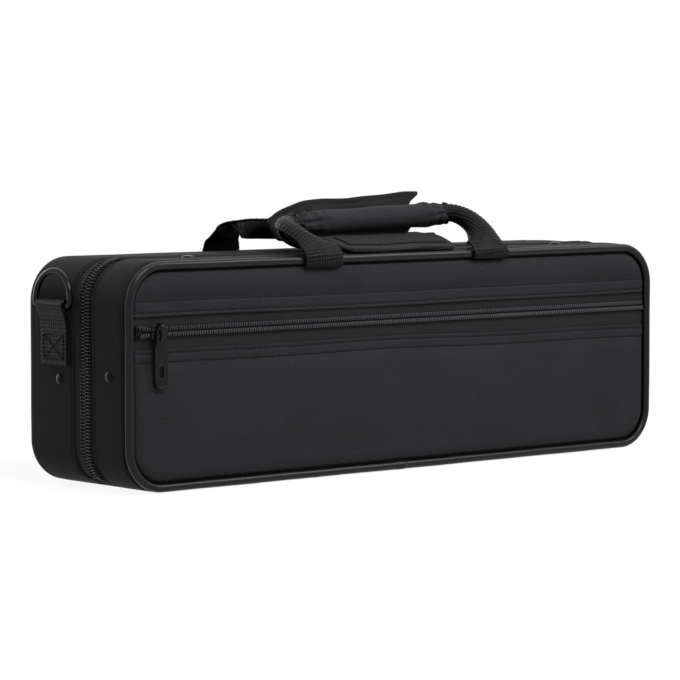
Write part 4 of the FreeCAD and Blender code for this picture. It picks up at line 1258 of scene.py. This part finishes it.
# Grip: a sleeve of cloth sewn round foam, gathered on the webbing at both ends
grip_low = np.array([span("grip_sleeve", axis)[0] for axis in (X, Y, Z)])
grip_high = np.array([span("grip_sleeve", axis)[1] for axis in (X, Y, Z)])
GRIP_RADIUS = (grip_high[Y] - grip_low[Y]) / 2
GRIP_MIDDLE = (grip_low + grip_high) / 2
grip_slope = math.asin((grip_high[Z] - grip_low[Z] - 2 * GRIP_RADIUS) / (grip_high[X] - grip_low[X]))
GRIP_RUN = np.array([math.cos(grip_slope), 0, math.sin(grip_slope)])
GRIP_UP = np.array([-math.sin(grip_slope), 0, math.cos(grip_slope)])
GRIP_HALF = (grip_high[X] - grip_low[X]) / 2


def grip_sleeve():
    stations = steps(-GRIP_HALF - 9, 0.6, -GRIP_HALF + 12, 1.6, GRIP_HALF - 12, 0.6, GRIP_HALF + 9)
    turn = np.linspace(0, 2 * math.pi, 60, endpoint=False)
    past = (np.abs(stations) - GRIP_HALF)[:, None]
    neck = np.interp(past, [-9, -3.5, 0, 2, 5, 8, 9], [0, 0.2, 0.9, 1.15, 0.75, 1.15, 1.5])
    gather = smoothstep(-16, 4, past)
    phase = stations[:, None] / 9
    folds = 0.5 * np.sin(7 * turn + 0.8 * np.sin(phase)) + 0.35 * np.sin(11 * turn + 1.3 + phase)
    folds += 0.3 * np.sin(4 * turn - phase)
    soft = (
        0.22 * np.sin(stations / 13)[:, None] * np.sin(turn + 0.6)
        + 0.16 * np.sin(stations / 6.5 + 1)[:, None]
    )
    crumple = np.where(stations < 0, 0.95, 0.7)[:, None] * gather * folds
    crumple = crumple + 0.55 * gather * np.sin(stations / 1.3)[:, None] * np.sin(2 * turn + 0.5)[None, :]
    crumple = crumple * (1 - 0.85 * smoothstep(0.1, 0.8, -np.sin(turn)))[None, :]
    radius = GRIP_RADIUS - neck + crumple * (1 - 0.3 * smoothstep(6, 9, past)) + soft * (1 - gather)
    bumps = np.exp(-((stations - 41) / 2.6) ** 2) + 0.8 * np.exp(-((stations - 49) / 2.2) ** 2)
    radius = radius + 0.9 * bumps[:, None] * np.clip(np.cos(turn), 0, 1)[None, :] ** 2
    seam = 0.25 * np.exp(-((turn - 4.4) / 0.07) ** 2)[None, :]
    radius = radius - seam * (1 - gather)
    ring = np.cos(turn)[None, :, None] * GRIP_UP + np.sin(turn)[None, :, None] * np.array([0, -1.0, 0])
    middle = GRIP_MIDDLE + stations[:, None] * GRIP_RUN
    outer = middle[:, None] + ring * radius[..., None]
    inner = middle[:, None] + ring * (radius - 0.75)[..., None]
    shell = np.concatenate([outer, inner[::-1]])
    coords = lie_of(shell, True, True)
    return fit(tube_piece("grip_sleeve_cloth", shell, closed=True, coords=coords), OXFORD, "oxford_cloth",
               "front_handle", "grip_sleeve")


grip_sleeve()
foam_stations = steps(-GRIP_HALF + 3, 2.0, GRIP_HALF - 3)
foam_turn = np.linspace(0, 2 * math.pi, 28, endpoint=False)
foam_ring = (
    np.cos(foam_turn)[None, :, None] * GRIP_UP + np.sin(foam_turn)[None, :, None] * np.array([0, -1.0, 0])
)
foam_middle = GRIP_MIDDLE + foam_stations[:, None] * GRIP_RUN
FOAM_OUTER = 6.0
FOAM_INNER = 5.6
foam_outer = foam_middle[:, None] + foam_ring * FOAM_OUTER
foam_inner = foam_middle[:, None] + foam_ring * FOAM_INNER
grip_foam = tube_piece("grip_foam", np.concatenate([foam_outer, foam_inner[::-1]]), closed=True)
fit(grip_foam, FOAM, "foam", "front_handle", "grip_padding")

# Wrap: a floor under the grip, a front flap down to the piping and a back flap that stands up
WRAP_HALF = span("wrap_floor", X)[1]
FLOOR_LOW, FLOOR_HIGH = span("wrap_floor", Z)
FLOOR_FRONT, FLOOR_BACK = span("wrap_floor", Y)
WRAP_THICK = FLOOR_HIGH - FLOOR_LOW


def padded_flap(name, outer, thickness, cloth, body, node):
    piece = cloth_piece(name, outer, thickness)
    fit(piece, cloth, "oxford_cloth", body, node)
    return piece


def flap_grid(profile, edge_left, edge_right, columns=56):
    """A grid over a flap, from a profile of (depth, height) and its side edges at each share of it."""
    profile = np.asarray(profile, float)
    count = len(profile)
    share = np.linspace(0, 1, count)
    across = np.linspace(0, 1, columns)
    left = edge_left(share)[None, :]
    right = edge_right(share)[None, :]
    grid = np.zeros((columns, count, 3))
    grid[..., X] = left + (right - left) * across[:, None]
    grid[..., Y] = profile[None, :, 0]
    grid[..., Z] = profile[None, :, 1]
    return grid


# The floor lies under the grip, from one fold to the other
floor_share = np.linspace(0, 1, 18)
floor_x = steps(-WRAP_HALF - 10, 0.8, -WRAP_HALF, 2.0, WRAP_HALF)
floor_end = smoothstep(-WRAP_HALF + 6, -WRAP_HALF - 10, floor_x)[:, None]
floor_width = 1 - 0.3 * np.clip((-WRAP_HALF - 4 - floor_x) / 6, 0, 1)[:, None] ** 2
floor_grid = np.zeros((len(floor_x), 18, 3))
floor_grid[..., X] = floor_x[:, None]
floor_grid[..., Y] = FLOOR_BACK - (FLOOR_BACK - FLOOR_FRONT) * (floor_share[None, :] * floor_width)
floor_grid[..., Z] = FLOOR_LOW - 0.5 * np.sin(math.pi * floor_share)[None, :] + 0.9 * floor_end
floor_grid[..., Z] += 0.35 * np.sin(floor_x / 6)[:, None]
padded_flap("wrap_floor_cloth", floor_grid, WRAP_THICK - 0.2, GUSSET_PAINTED_SHADE, "front_handle", "wrap_floor")

# The front flap leaves the floor's front edge, rolls over and slopes down to the piping
front_fold = pin("wrap_front_fold")
flap_front = span("wrap_front_flap", Y)[0]
flap_low = span("wrap_front_flap", Z)[0]
front_profile = smooth_path([
    (FLOOR_FRONT + 1.5, 0, FLOOR_HIGH - 0.2), (front_fold[Y] + 0.2, 0, FLOOR_HIGH - 0.25),
    (front_fold[Y] - 4, 0, FLOOR_HIGH - 0.7), (front_fold[Y] - 11, 0, FLOOR_HIGH - 2.0),
    (front_fold[Y] - 18, 0, FLOOR_HIGH - 3.9), (front_fold[Y] - 24, 0, FLOOR_HIGH - 6.0),
    (flap_front + 0.6, 0, flap_low + 2.2),
], 0.8)[:, [0, 2]]


def front_left(share):
    return WRAP_HALF * np.interp(share, [0, 0.72, 0.88, 0.96, 1], [-0.9, -0.9, -0.88, -0.84, -0.77])


def front_right(share):
    return WRAP_HALF * np.interp(share, [0, 0.1, 0.78, 0.9, 0.97, 1], [0.93, 0.93, 0.88, 0.86, 0.81, 0.76])


def front_waves(x, share):
    slow = 0.35 * np.sin(x / 9) * smoothstep(0.3, 1, share)
    return slow + 0.5 * np.sin(x / 4 + 1) * smoothstep(0.72, 1, np.abs(x) / WRAP_HALF) * smoothstep(
        0.1, 0.5, share,
    )


front_grid = flap_grid(front_profile, front_left, front_right, 100)
front_share = np.linspace(0, 1, front_grid.shape[1])[None, :]
front_grid[..., Z] += front_waves(front_grid[..., X], front_share)
front_edge = np.minimum(
    np.minimum(front_grid[..., X] - front_grid[:1, :, X], front_grid[-1:, :, X] - front_grid[..., X]),
    (1 - front_share) * 0.8 * len(front_profile),
)
front_grid[..., Z] -= 0.4 * np.exp(-((front_edge - 2.6) / 0.6) ** 2)
wrap_front = padded_flap(
    "wrap_front_cloth", front_grid, -WRAP_THICK + 0.4, OXFORD, None, "wrap_front_flap",
)
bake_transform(wrap_front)

# Its fastener strip is ribbed from side to side
hook_front, hook_back = span("hook_strip", Y)
hook_half = span("hook_strip", X)[1]
hook_depths = steps(hook_back, 0.8, hook_front)
hook_x = steps(-hook_half, 0.3, hook_half)
order = np.argsort(front_profile[:, 0])
hook_heights = np.interp(hook_depths, front_profile[order, 0], front_profile[order, 1])
hook_share = np.interp(hook_depths, front_profile[order, 0], order / len(front_profile))
hook_grid = np.zeros((len(hook_x), len(hook_depths), 3))
hook_grid[..., X] = hook_x[:, None]
hook_grid[..., Y] = hook_depths[None, :]
hook_edge = smoothstep(0, 1.0, hook_depths - hook_front) * smoothstep(0, 1.0, hook_back - hook_depths)
hook_ribs = 0.55 * np.abs(np.sin(math.pi * (hook_x + hook_half) / RIB_PITCH))[:, None] * hook_edge[None, :]
hook_grid[..., Z] = (
    hook_heights[None, :] + front_waves(hook_x[:, None], hook_share[None, :]) + 0.75 + hook_ribs
)
hook_lie = np.stack(np.meshgrid(hook_x, hook_depths, indexing="ij"), -1)
hook_piece = cloth_piece("hook_strip_ribs", hook_grid, -0.9, coords=hook_lie)
fit(hook_piece, HOOKS, "hook_tape", "wrap_front", "hook_strip")

# The back flap stands up behind the grip and leans back
back_fold = pin("wrap_back_fold")
back_profile = smooth_path([
    (back_fold[Y] - 3.9, 0, back_fold[Z] - 1.0), (back_fold[Y] - 2.0, 0, back_fold[Z] - 0.8),
    (back_fold[Y] - 0.9, 0, back_fold[Z] + 0.4), (back_fold[Y] - 0.4, 0, back_fold[Z] + 2.6),
    (back_fold[Y] + 0.2, 0, back_fold[Z] + 6), (back_fold[Y] + 1.1, 0, back_fold[Z] + 11),
    (back_fold[Y] + 2.3, 0, back_fold[Z] + 16), (back_fold[Y] + 3.8, 0, back_fold[Z] + 20.5),
    (back_fold[Y] + 4.9, 0, back_fold[Z] + 24),
], 0.5)
back_runs = np.arange(len(back_profile)) * 0.5


def back_left(share):
    return np.interp(share, [0, 0.45, 0.8, 1], [-60, -66, -69, -68])


def back_right(share):
    return np.interp(share, [0, 0.62, 0.8, 0.94, 1], [41, 41.5, 44, 49.4, 49.8])


# Where the flap leans back it is also pulled to the right, by this share of how far back it is
FLAP_SIDESTEP = 0.87
FLAP_TOP_X = (-68, -66, -60, -52, -44, -25, -7, 23, 38, 46, 48, 49.8)
FLAP_TOP_Z = (149.6, 151.6, 154.8, 157.6, 159.7, 161.0, 160.8, 162.9, 163.9, 164.7, 164.6, 163.4)
flap_u = np.linspace(0, 1, 130)[:, None]
flap_v = np.linspace(0, 1, 34)[None, :]
top_x = back_left(1) + (back_right(1) - back_left(1)) * flap_u
top_z = np.interp(top_x[:, 0], FLAP_TOP_X, FLAP_TOP_Z)
top_z = np.convolve(np.pad(top_z, 3, mode="edge"), np.ones(7) / 7, mode="valid")
top_run = np.interp(top_z, back_profile[:, Z], back_runs)[:, None]
flap_run = flap_v * top_run
flap_x = back_left(flap_v) + (back_right(flap_v) - back_left(flap_v)) * flap_u
flap_edge = np.minimum(np.minimum(flap_u, 1 - flap_u) * 120, (1 - flap_v) * top_run)
flap_y = np.interp(flap_run, back_runs, back_profile[:, X])
flap_x = flap_x + FLAP_SIDESTEP * np.clip(flap_y, 0, None)
flap_y = flap_y + 0.45 * np.exp(-((flap_edge - 3.0) / 0.6) ** 2)
flap_y = flap_y + 0.5 * np.sin(flap_x / 8 + flap_run / 6) * smoothstep(4, 16, flap_run)
flap_z = np.interp(flap_run, back_runs, back_profile[:, Z]) + 0.25 * np.sin(flap_x / 6.5) * flap_v
flap_grid_back = np.stack([flap_x + 0 * flap_y, flap_y, flap_z], -1)
wrap_back = padded_flap(
    "wrap_back_cloth", flap_grid_back, WRAP_THICK - 0.2, GUSSET_PAINTED_SHADE, None, "wrap_back_flap",
)
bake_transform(wrap_back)

# Its own strip is sewn on behind
loop_low, loop_high = span("loop_strip", Z)
loop_half = span("loop_strip", X)[1]
loop_x = steps(-loop_half, 2.0, loop_half)[:, None]
loop_z = steps(loop_low, 1.2, loop_high)[None, :]
loop_y = np.interp(loop_z, back_profile[:, Z], back_profile[:, X]) + WRAP_THICK + 0.4
loop_y = loop_y + 0.5 * np.sin(loop_x / 8 + (loop_z - loop_low) / 6 + 0.5) * smoothstep(142, 154, loop_z)
loop_grid = np.stack([loop_x + 0 * loop_z, loop_y + 0 * loop_x, loop_z + 0 * loop_x], -1)
fit(cloth_piece("loop_strip_pile", loop_grid[::-1], 1.0), LOOPS, "loop_tape", "wrap_back", "loop_strip")

# Sliders and pulls


def superellipse(count, power=0.55):
    turn = np.linspace(0, 2 * math.pi, count, endpoint=False)
    wide, thick = np.cos(turn), np.sin(turn)
    return np.sign(wide) * np.abs(wide) ** power, np.sign(thick) * np.abs(thick) ** power


def slider_piece(name, place, growth, channel, drop, along_bar, body, node):
    """A cast slider about its pull's bar: a plate with a wide mouth, two rails and an arch over the bar."""
    shell = 1.0 * growth
    space = 2.3 * growth
    long_half = 6.0 * growth
    side = channel + 0.4 + shell
    plate_top = -space / 2
    mouth = [(long_half - 0.6, -side * 0.16), (long_half - 2.6, 0), (long_half - 0.6, side * 0.16)]
    mouth += arc(long_half - 1.7, side - 1.7, 1.7, 40, 110, 7)
    tail = [(-2.5, side * 0.95)] + arc(-long_half + 1.6, side * 0.76 - 1.6, 1.6, 100, 180, 7)
    outline = mouth + tail
    outline = outline + [(x, -y) for x, y in outline[:2:-1]]
    plate = plate_piece("plate", outline, [], shell, 0.35 * shell)
    plate.data.transform(Matrix.Translation((0, 0, (plate_top - shell / 2) * MM)))
    parts = [plate]
    for sign in (-1, 1):
        rail_line = [(long_half - 2.2, side - shell * 1.15), (long_half - 2.2, side - 0.05)]
        rail_line += [(-long_half + 2.4, side * 0.9), (-long_half + 2.4, side * 0.9 - shell * 1.1)]
        rail = plate_piece("rail", [(x, y * sign) for x, y in rail_line], [], drop, 0.3 * shell)
        rail.data.transform(Matrix.Translation((0, 0, (plate_top - shell - drop / 2 + 0.3) * MM)))
        parts.append(rail)
    # The arch crosses over the bar, square to it
    reach = 4.5 * growth
    rise = space + 0.55 * growth
    line = smooth_path([
        (-reach, 0, plate_top - 0.3), (-reach + 0.25, 0, plate_top + rise * 0.7),
        (-reach * 0.62, 0, plate_top + rise),
        (0, 0, plate_top + rise + 0.1), (reach * 0.62, 0, plate_top + rise),
        (reach - 0.25, 0, plate_top + rise * 0.7),
        (reach, 0, plate_top - 0.3),
    ], 0.4)
    along = unit(np.gradient(line[:, :3], axis=0))
    across = np.broadcast_to([0.0, 1.0, 0.0], along.shape)
    out = np.cross(along, across)
    wide, thick = superellipse(16)
    girth = np.interp(
        np.linspace(-1, 1, len(line)), [-1, -0.6, 0, 0.6, 1], [1.15, 1.0, 0.9, 1.0, 1.15],
    )[:, None]
    ring = wide[None, :, None] * across[:, None] * 1.1 * growth * girth[..., None]
    ring = ring + thick[None, :, None] * out[:, None] * 0.55 * growth
    arch = tube_piece("arch", line[:, None, :3] + ring)
    if along_bar:
        arch.data.transform(Matrix.Rotation(math.pi / 2, 4, "Z"))
    parts.append(arch)
    piece = joined(name, *parts)
    place_in(piece, *place)
    return fit(piece, ENAMEL, "black_metal", body, node)


def pull_piece(name, place, growth, body, node):
    """A cast pull: an eye round the bridge, a waist, and a rounded end with a slot and a raised rim."""
    neck = 3.3 * growth
    wide = 4.6 * growth
    length = 32.0 * growth
    eye = 1.7 * growth
    bar = 0.75 * growth
    end = wide - length
    half_outline = [(neck - 0.6, bar), (neck, bar - 0.6), (neck, -4.6 * growth), (neck + 0.5, -6.2 * growth)]
    half_outline += [(wide - 0.4, -8.4 * growth), (wide, -10.5 * growth), (wide, end + 2)]
    outline = half_outline + arc(0, end, wide, 0, -180, 21) + [(-x, y) for x, y in half_outline[::-1]]
    eye_loop = arc(eye - 0.6, -bar - 0.6, 0.6, 0, 90, 4) + arc(0.6 - eye, -bar - 0.6, 0.6, 90, 180, 4)
    eye_loop += arc(0, -4.8 * growth + eye, eye, 180, 360, 11)
    slot_low, slot_high = end + 1.6, end + 8.2 * growth
    slot = arc(0, slot_high - 1.5, 1.5, 0, 180, 9) + arc(0, slot_low + 1.5, 1.5, 180, 360, 9)
    plate = plate_piece("plate", outline, [eye_loop, slot], 1.5 * growth, 0.42)
    rim_line = [(x * 0.86, y + (0.45 if y < -9 * growth else 0)) for x, y in outline if y < -8.0 * growth]
    rim = np.array([(x, y, 0.62 * growth) for x, y in rim_line])
    rim = resample(rim, 0.7)
    along = unit(np.gradient(rim, axis=0))
    side_way = np.cross(along, np.broadcast_to([0, 0, 1.0], along.shape))
    turn = np.linspace(0, 2 * math.pi, 10, endpoint=False)
    parts = [plate]
    for face in (1, -1):
        line = rim * np.array([1, 1, face])
        ring = np.cos(turn)[None, :, None] * side_way[:, None] * 0.5
        ring = ring + np.sin(turn)[None, :, None] * np.array([0, 0, 1.0]) * 0.34
        parts.append(tube_piece("rim", line[:, None] + ring))
    piece = joined(name, *parts)
    place_in(piece, *place)
    return fit(piece, ENAMEL, "black_metal", body, node)


pocket_bar = pin("pocket_pull_swing")
pocket_place = (pocket_bar, (-1, 0, 0), (0, 0, -1), (0, -1, 0))
slider_piece("pocket_slider_body", pocket_place, 1.0, 2.85, 1.6, True, "pocket_slider", "pocket_slider")
pull_piece(
    "pocket_pull_tab", (pocket_bar, (1, 0, 0), (0, 0, 1), (0, -1, 0)), 1.0, "pocket_pull", "pocket_pull",
)
MAIN_GROWTH = 1.15
main_bar = pin("main_pull_swing")
main_place = (main_bar, (0, 0, -1), (0, 1, 0), (1, 0, 0))
slider_piece("main_slider_body", main_place, MAIN_GROWTH, 4.9, 1.6, False, "main_slider", "main_slider")
pull_piece(
    "main_pull_tab", (main_bar, (0, 1, 0), (0, 0, 1), (1, 0, 0)), MAIN_GROWTH, "main_pull", "main_pull",
)

# Inside
LINING_MARGIN = 4.6
LINING_THICK = 1.3


def tray_lining(name, node, rim, floor, body):
    """Lining round the inside of one half's wall and over its floor."""
    inward = np.sign(floor - rim)
    depths = np.sort(rim + inward * steps(0, 1.5, 3, 7, abs(floor - rim) - 0.1))
    runs = steps(0, 3.5, ROUND)[:-1]
    waves = 0.08 * np.sin(runs / 17)[:, None]
    ring = cloth_piece(
        "ring", around_case(runs, depths, LINING_MARGIN + 0.08 + waves), LINING_THICK, closed=True,
    )
    x, z = face_grid(level(LINING_MARGIN), level(TOP - LINING_MARGIN), steps(0, 0.05, 1), LINING_MARGIN)
    outer_depth = min(floor, floor - inward * LINING_THICK)
    plate = cloth_piece("plate", np.stack([x, np.full_like(x, outer_depth), z], -1), LINING_THICK)
    return fit(joined(name, ring, plate), LINING, "lining_cloth", body, node)


BASE_RIM = span("base_board", Y)[0]
LID_RIM = span("lid_board", Y)[1]
tray_lining("base_lining_cloth", "base_lining", BASE_RIM, span("base_lining", Y)[1], "base")
tray_lining("lid_lining_cloth", "lid_lining", LID_RIM, span("lid_lining", Y)[0], "lid")


def rim_binding(name, rim, inward, body):
    """Tape sewn over the cut edge of a half's board, just proud of it."""
    runs = steps(0, 3.5, ROUND)[:-1]
    margins = steps(1.7, 0.5, 5.2)[::-1] if inward > 0 else steps(1.7, 0.5, 5.2)
    near = np.minimum(margins - 1.7, 5.2 - margins)
    depths = rim - inward * 0.1 * smoothstep(0, 0.7, near) + inward * 0.1
    grid = around_case(runs, depths, margins)
    return fit(cloth_piece(name, grid, 0.35, closed=True), TAPE, "zip_tape", body)


rim_binding("base_rim_binding", BASE_RIM, 1, "base")
rim_binding("lid_rim_binding", LID_RIM, -1, "lid")

# The fitted insert: plush moulded over foam, with a trough for each of the flute's joints
insert_front, insert_back = span("flute_insert", Y)
INSERT_MARGIN = span("flute_insert", Z)[0]
TROUGH_AXIS = 12.0
TROUGHS = ((-184, 176, 88, 15.5), (-184, 36, 42, 12.5), (54, 184, 42, 15.5))


def trough_depth(x, z, left, right, height, radius):
    across = radius - np.abs(z - height)
    along = np.minimum(x - left, right - x)
    wall = TROUGH_AXIS * smoothstep(-1.4, 0.5, np.minimum(across, along))
    bowl = np.sqrt(np.clip(across * (2 * radius - across), 0, None)) * smoothstep(0, 1.2, along)
    return wall + bowl


insert_half = HALF - INSERT_MARGIN
insert_x = steps(
    -insert_half, 0.6, -201, 3, -187, 0.5, -182, 4, 34, 0.5, 38, 4, 52, 0.5, 56, 4, 174, 0.5, 178, 3, 182,
    0.5, 186, 3,
    201, 0.6, insert_half,
)
insert_z = steps(
    6, 0.6, 9, 2.5, 24.5, 0.5, 31, 1.5, 53, 0.5, 59, 2.5, 71, 0.5, 74, 1.5, 102, 0.5, 105, 2.5, 121, 0.6, 124,
)
insert_shape_z = np.broadcast_to(insert_z[None, :], (len(insert_x), len(insert_z)))
insert_shape_x = insert_x[:, None] / insert_half * face_half(insert_shape_z, INSERT_MARGIN)
insert_depth = insert_front + rolled(edge_distance(insert_shape_x, insert_shape_z, INSERT_MARGIN), 3.0, 3.5)
for trough in TROUGHS:
    insert_depth = insert_depth + trough_depth(insert_shape_x, insert_shape_z, *trough)
insert_depth = insert_depth + 0.12 * np.sin(insert_shape_x / 5.3) * np.sin(insert_shape_z / 4.1)
insert_outer = np.stack([insert_shape_x, insert_depth, insert_shape_z], -1)
insert_inner = insert_outer.copy()
insert_inner[..., Y] = insert_back
insert_piece = cloth_piece("flute_insert_plush", insert_outer, 0.3, inner=insert_inner,
                           coords=np.stack([insert_shape_x, insert_shape_z], -1))
fit(insert_piece, PLUSH, "plush", "base", "flute_insert")

# The lid's pad holds the joints down. It is tufted in a row of soft dents
pad_low, pad_high = span("lid_pad", Y)
PAD_MARGIN = HALF - span("lid_pad", X)[1]
x, z = face_grid(
    level(PAD_MARGIN), level(TOP - PAD_MARGIN), steps(0, 0.012, 0.12, 0.03, 0.88, 0.012, 1), PAD_MARGIN,
)
inside = edge_distance(x, z, PAD_MARGIN)
pad_face = pad_high - 3.2 * (1 - smoothstep(0, 10, inside)) ** 1.4 + 0.3 * np.sin(x / 23) * np.sin(z / 17)
for dent_x in (-120, -40, 40, 120):
    pad_face = pad_face - 1.8 * np.exp(-((x - dent_x) ** 2 + (z - TOP / 2) ** 2) / 9 ** 2)
pad_outer = np.stack([x, np.full_like(x, pad_low), z], -1)
pad_inner = np.stack([x, pad_face, z], -1)
pad_piece = cloth_piece("lid_pad_plush", pad_outer, 0.3, inner=pad_inner, coords=np.stack([x, z], -1))
fit(pad_piece, PLUSH, "plush", "lid", "lid_pad")

# Stitching
STITCH = pill_shape(1.95, 0.55, 0.42, bow=0.12)
STITCH_PITCH = 2.6


def face_row(edge, offset, crown):
    """Stitch places along a front panel's edge, at a distance from it."""
    x = np.linspace(-1, 1, 400) * (HALF - TUCK_MARGIN - 3.5)
    z = edge(x) + offset
    x = x * np.minimum(1, (face_half(z, TUCK_MARGIN) - 3.5) / (HALF - TUCK_MARGIN - 3.5))
    path = np.stack([x, face_depth(x, z, crown) - 0.04, z], -1)
    return places_along(path, np.broadcast_to([0.0, -1.0, 0.0], path.shape), STITCH_PITCH)


def gusset_row(seam, edge, inset=2.4, bulge=0.45):
    """Stitch places round a gusset, at an inset from its edge beside the zip."""
    width = abs(edge - seam)
    distance, margins = gusset_profile(width, bulge)
    margin = np.interp(width - inset, distance, margins) - 0.1
    runs = steps(ARCH_START + 2, 1.3, ARCH_STOP - 2)
    centres, outs = rim_frame(runs)
    path = centres + outs * (CORNER - margin + swell(runs))[:, None]
    path[:, Y] = seam + (width - inset) * np.sign(edge - seam)
    return places_along(path, outs, STITCH_PITCH)


def stitches(name, body, *rows):
    return fit(scatter_piece(name, STITCH, np.concatenate(rows)), THREAD, "oxford_cloth", body)


front_rows = [face_row(top_edge, row, top_crown) for row in TOP_ROWS]
front_rows += [face_row(hem_edge, -row, pocket_crown) for row in HEM_ROWS]
stitches("lid_stitching", "lid", *front_rows, gusset_row(LID_SEAM, LID_EDGE))
stitches("base_stitching", "base", gusset_row(BASE_SEAM, BASE_EDGE))


def tab_rows(side, joint):
    """A boxed cross of stitches that holds a ring's webbing tab."""
    bar = pin(joint)
    face = HALF + 3.12
    low = span("left_ring_tab", Z)[0]
    corners = [(-9.5, low + 3), (9.5, low + 3), (9.5, low + 17), (-9.5, low + 17), (-9.5, low + 3)]
    rows = []
    for (y0, z0), (y1, z1) in [
        *zip(corners, corners[1:]), (corners[0], corners[2]), (corners[1], corners[3]),
    ]:
        share = np.linspace(0, 1, 30)
        path = np.stack(
            [np.full(30, side * face), bar[Y] + y0 + (y1 - y0) * share, z0 + (z1 - z0) * share], -1,
        )
        rows.append(places_along(path, np.broadcast_to([float(side), 0.0, 0.0], path.shape), 2.3))
    return rows


stitches("tab_stitching", "base", *tab_rows(-1, "left_ring_swing"), *tab_rows(1, "right_ring_swing"))

# Floor, light and camera


def seen_directly(tree):
    """One for rays from the eye, also by way of gloss or glass, and none for the rays that light the case."""
    paths = add(tree, "LightPath").outputs
    seen = add(
        tree, "Math", {0: paths["Is Camera Ray"], 1: paths["Is Glossy Ray"]}, operation="MAXIMUM",
    ).outputs[0]
    return add(tree, "Math", {0: seen, 1: paths["Is Transmission Ray"]}, operation="MAXIMUM").outputs[0]


def white_floor():
    """A pale floor that holds the case's soft shadow.

    It is partly clear to the eye, so that the lid, which hangs below it at the open poses, can be seen.
    """
    disc = bpy.data.meshes.new("floor")
    turn = np.linspace(0, 2 * math.pi, 96, endpoint=False)
    disc.from_pydata([(12 * math.cos(a), 12 * math.sin(a), -0.0004) for a in turn], [], [list(range(96))])
    floor = bpy.data.objects.new("floor", disc)
    bpy.context.scene.collection.objects.link(floor)
    material = bpy.data.materials.new("white_floor")
    material.use_nodes = True
    tree = material.node_tree
    tree.nodes.clear()
    place = add(tree, "TexCoord").outputs["Object"]
    distance = add(tree, "VectorMath", {0: place}, operation="LENGTH").outputs["Value"]
    far = add(tree, "MapRange", {0: distance, 1: 0.26, 2: 0.5}, clamp=True).outputs[0]
    seen = seen_directly(tree)
    colour = add(tree, "Mix", {0: seen, 6: (0.5, 0.5, 0.5, 1), 7: (0.93, 0.93, 0.93, 1)}, data_type="RGBA")
    matt = add(tree, "BsdfDiffuse", {"Color": colour.outputs[2]}).outputs[0]
    glow = add(tree, "Math", {0: seen, 1: 0.3}, operation="MULTIPLY").outputs[0]
    veil = add(tree, "Emission", {"Color": (1, 1, 1, 1), "Strength": glow}).outputs[0]
    near = add(tree, "AddShader", {0: matt, 1: veil}).outputs[0]
    clear = add(tree, "MapRange", {0: far, 3: 0.87, 4: 1.0}).outputs[0]
    clear = add(tree, "Math", {0: clear, 1: seen}, operation="MULTIPLY").outputs[0]
    through = add(tree, "BsdfTransparent").outputs[0]
    mixed = add(tree, "MixShader", {0: clear, 1: near, 2: through}).outputs[0]
    add(tree, "OutputMaterial", {"Surface": mixed})
    disc.materials.append(material)


white_floor()

world = bpy.data.worlds.new("studio")
bpy.context.scene.world = world
world.use_nodes = True
tree = world.node_tree
tree.nodes.clear()
strength = add(tree, "MapRange", {0: seen_directly(tree), 3: 0.34, 4: 1.0})
background = add(tree, "Background", {"Color": (1, 1, 1, 1), "Strength": strength.outputs[0]})
add(tree, "OutputWorld", {"Surface": background.outputs[0]})


def area_light(name, place, aim, size, power, spread=180):
    light = bpy.data.lights.new(name, "AREA")
    light.shape = "RECTANGLE"
    light.size, light.size_y = size
    light.energy = power
    light.spread = math.radians(spread)
    lamp = bpy.data.objects.new(name, light)
    bpy.context.scene.collection.objects.link(lamp)
    lamp.location = place
    lamp.rotation_mode = "QUATERNION"
    lamp.rotation_quaternion = (Vector(aim) - Vector(place)).to_track_quat("-Z", "Y")
    lamp.visible_camera = False


area_light("key", (-0.2, -0.55, 0.78), (0, 0, 0.2), (0.5, 0.35), 1.8, 95)
area_light("side", (0.6, -0.55, 0.76), (0.02, 0, 0.2), (0.5, 0.35), 1.3, 95)
area_light("top", (0.1, 0.2, 1.2), (0.0, 0, 0.1), (0.7, 0.4), 1.5)
area_light("back", (-0.1, 0.9, 0.22), (0, 0, 0.08), (0.6, 0.4), 0.6, 110)

camera_data = bpy.data.cameras.new("camera")
camera_data.lens = 3170 / 680 * 36
camera_data.sensor_width = 36
camera_data.clip_start, camera_data.clip_end = 0.05, 60
camera = bpy.data.objects.new("camera", camera_data)
bpy.context.scene.collection.objects.link(camera)
camera.location = (-1.27072, -1.44537, 0.21085)
camera.rotation_euler = (math.radians(90 - 4.04), 0, -math.radians(41.02))
bpy.context.scene.camera = camera
bpy.context.scene.view_settings.view_transform = "Standard"
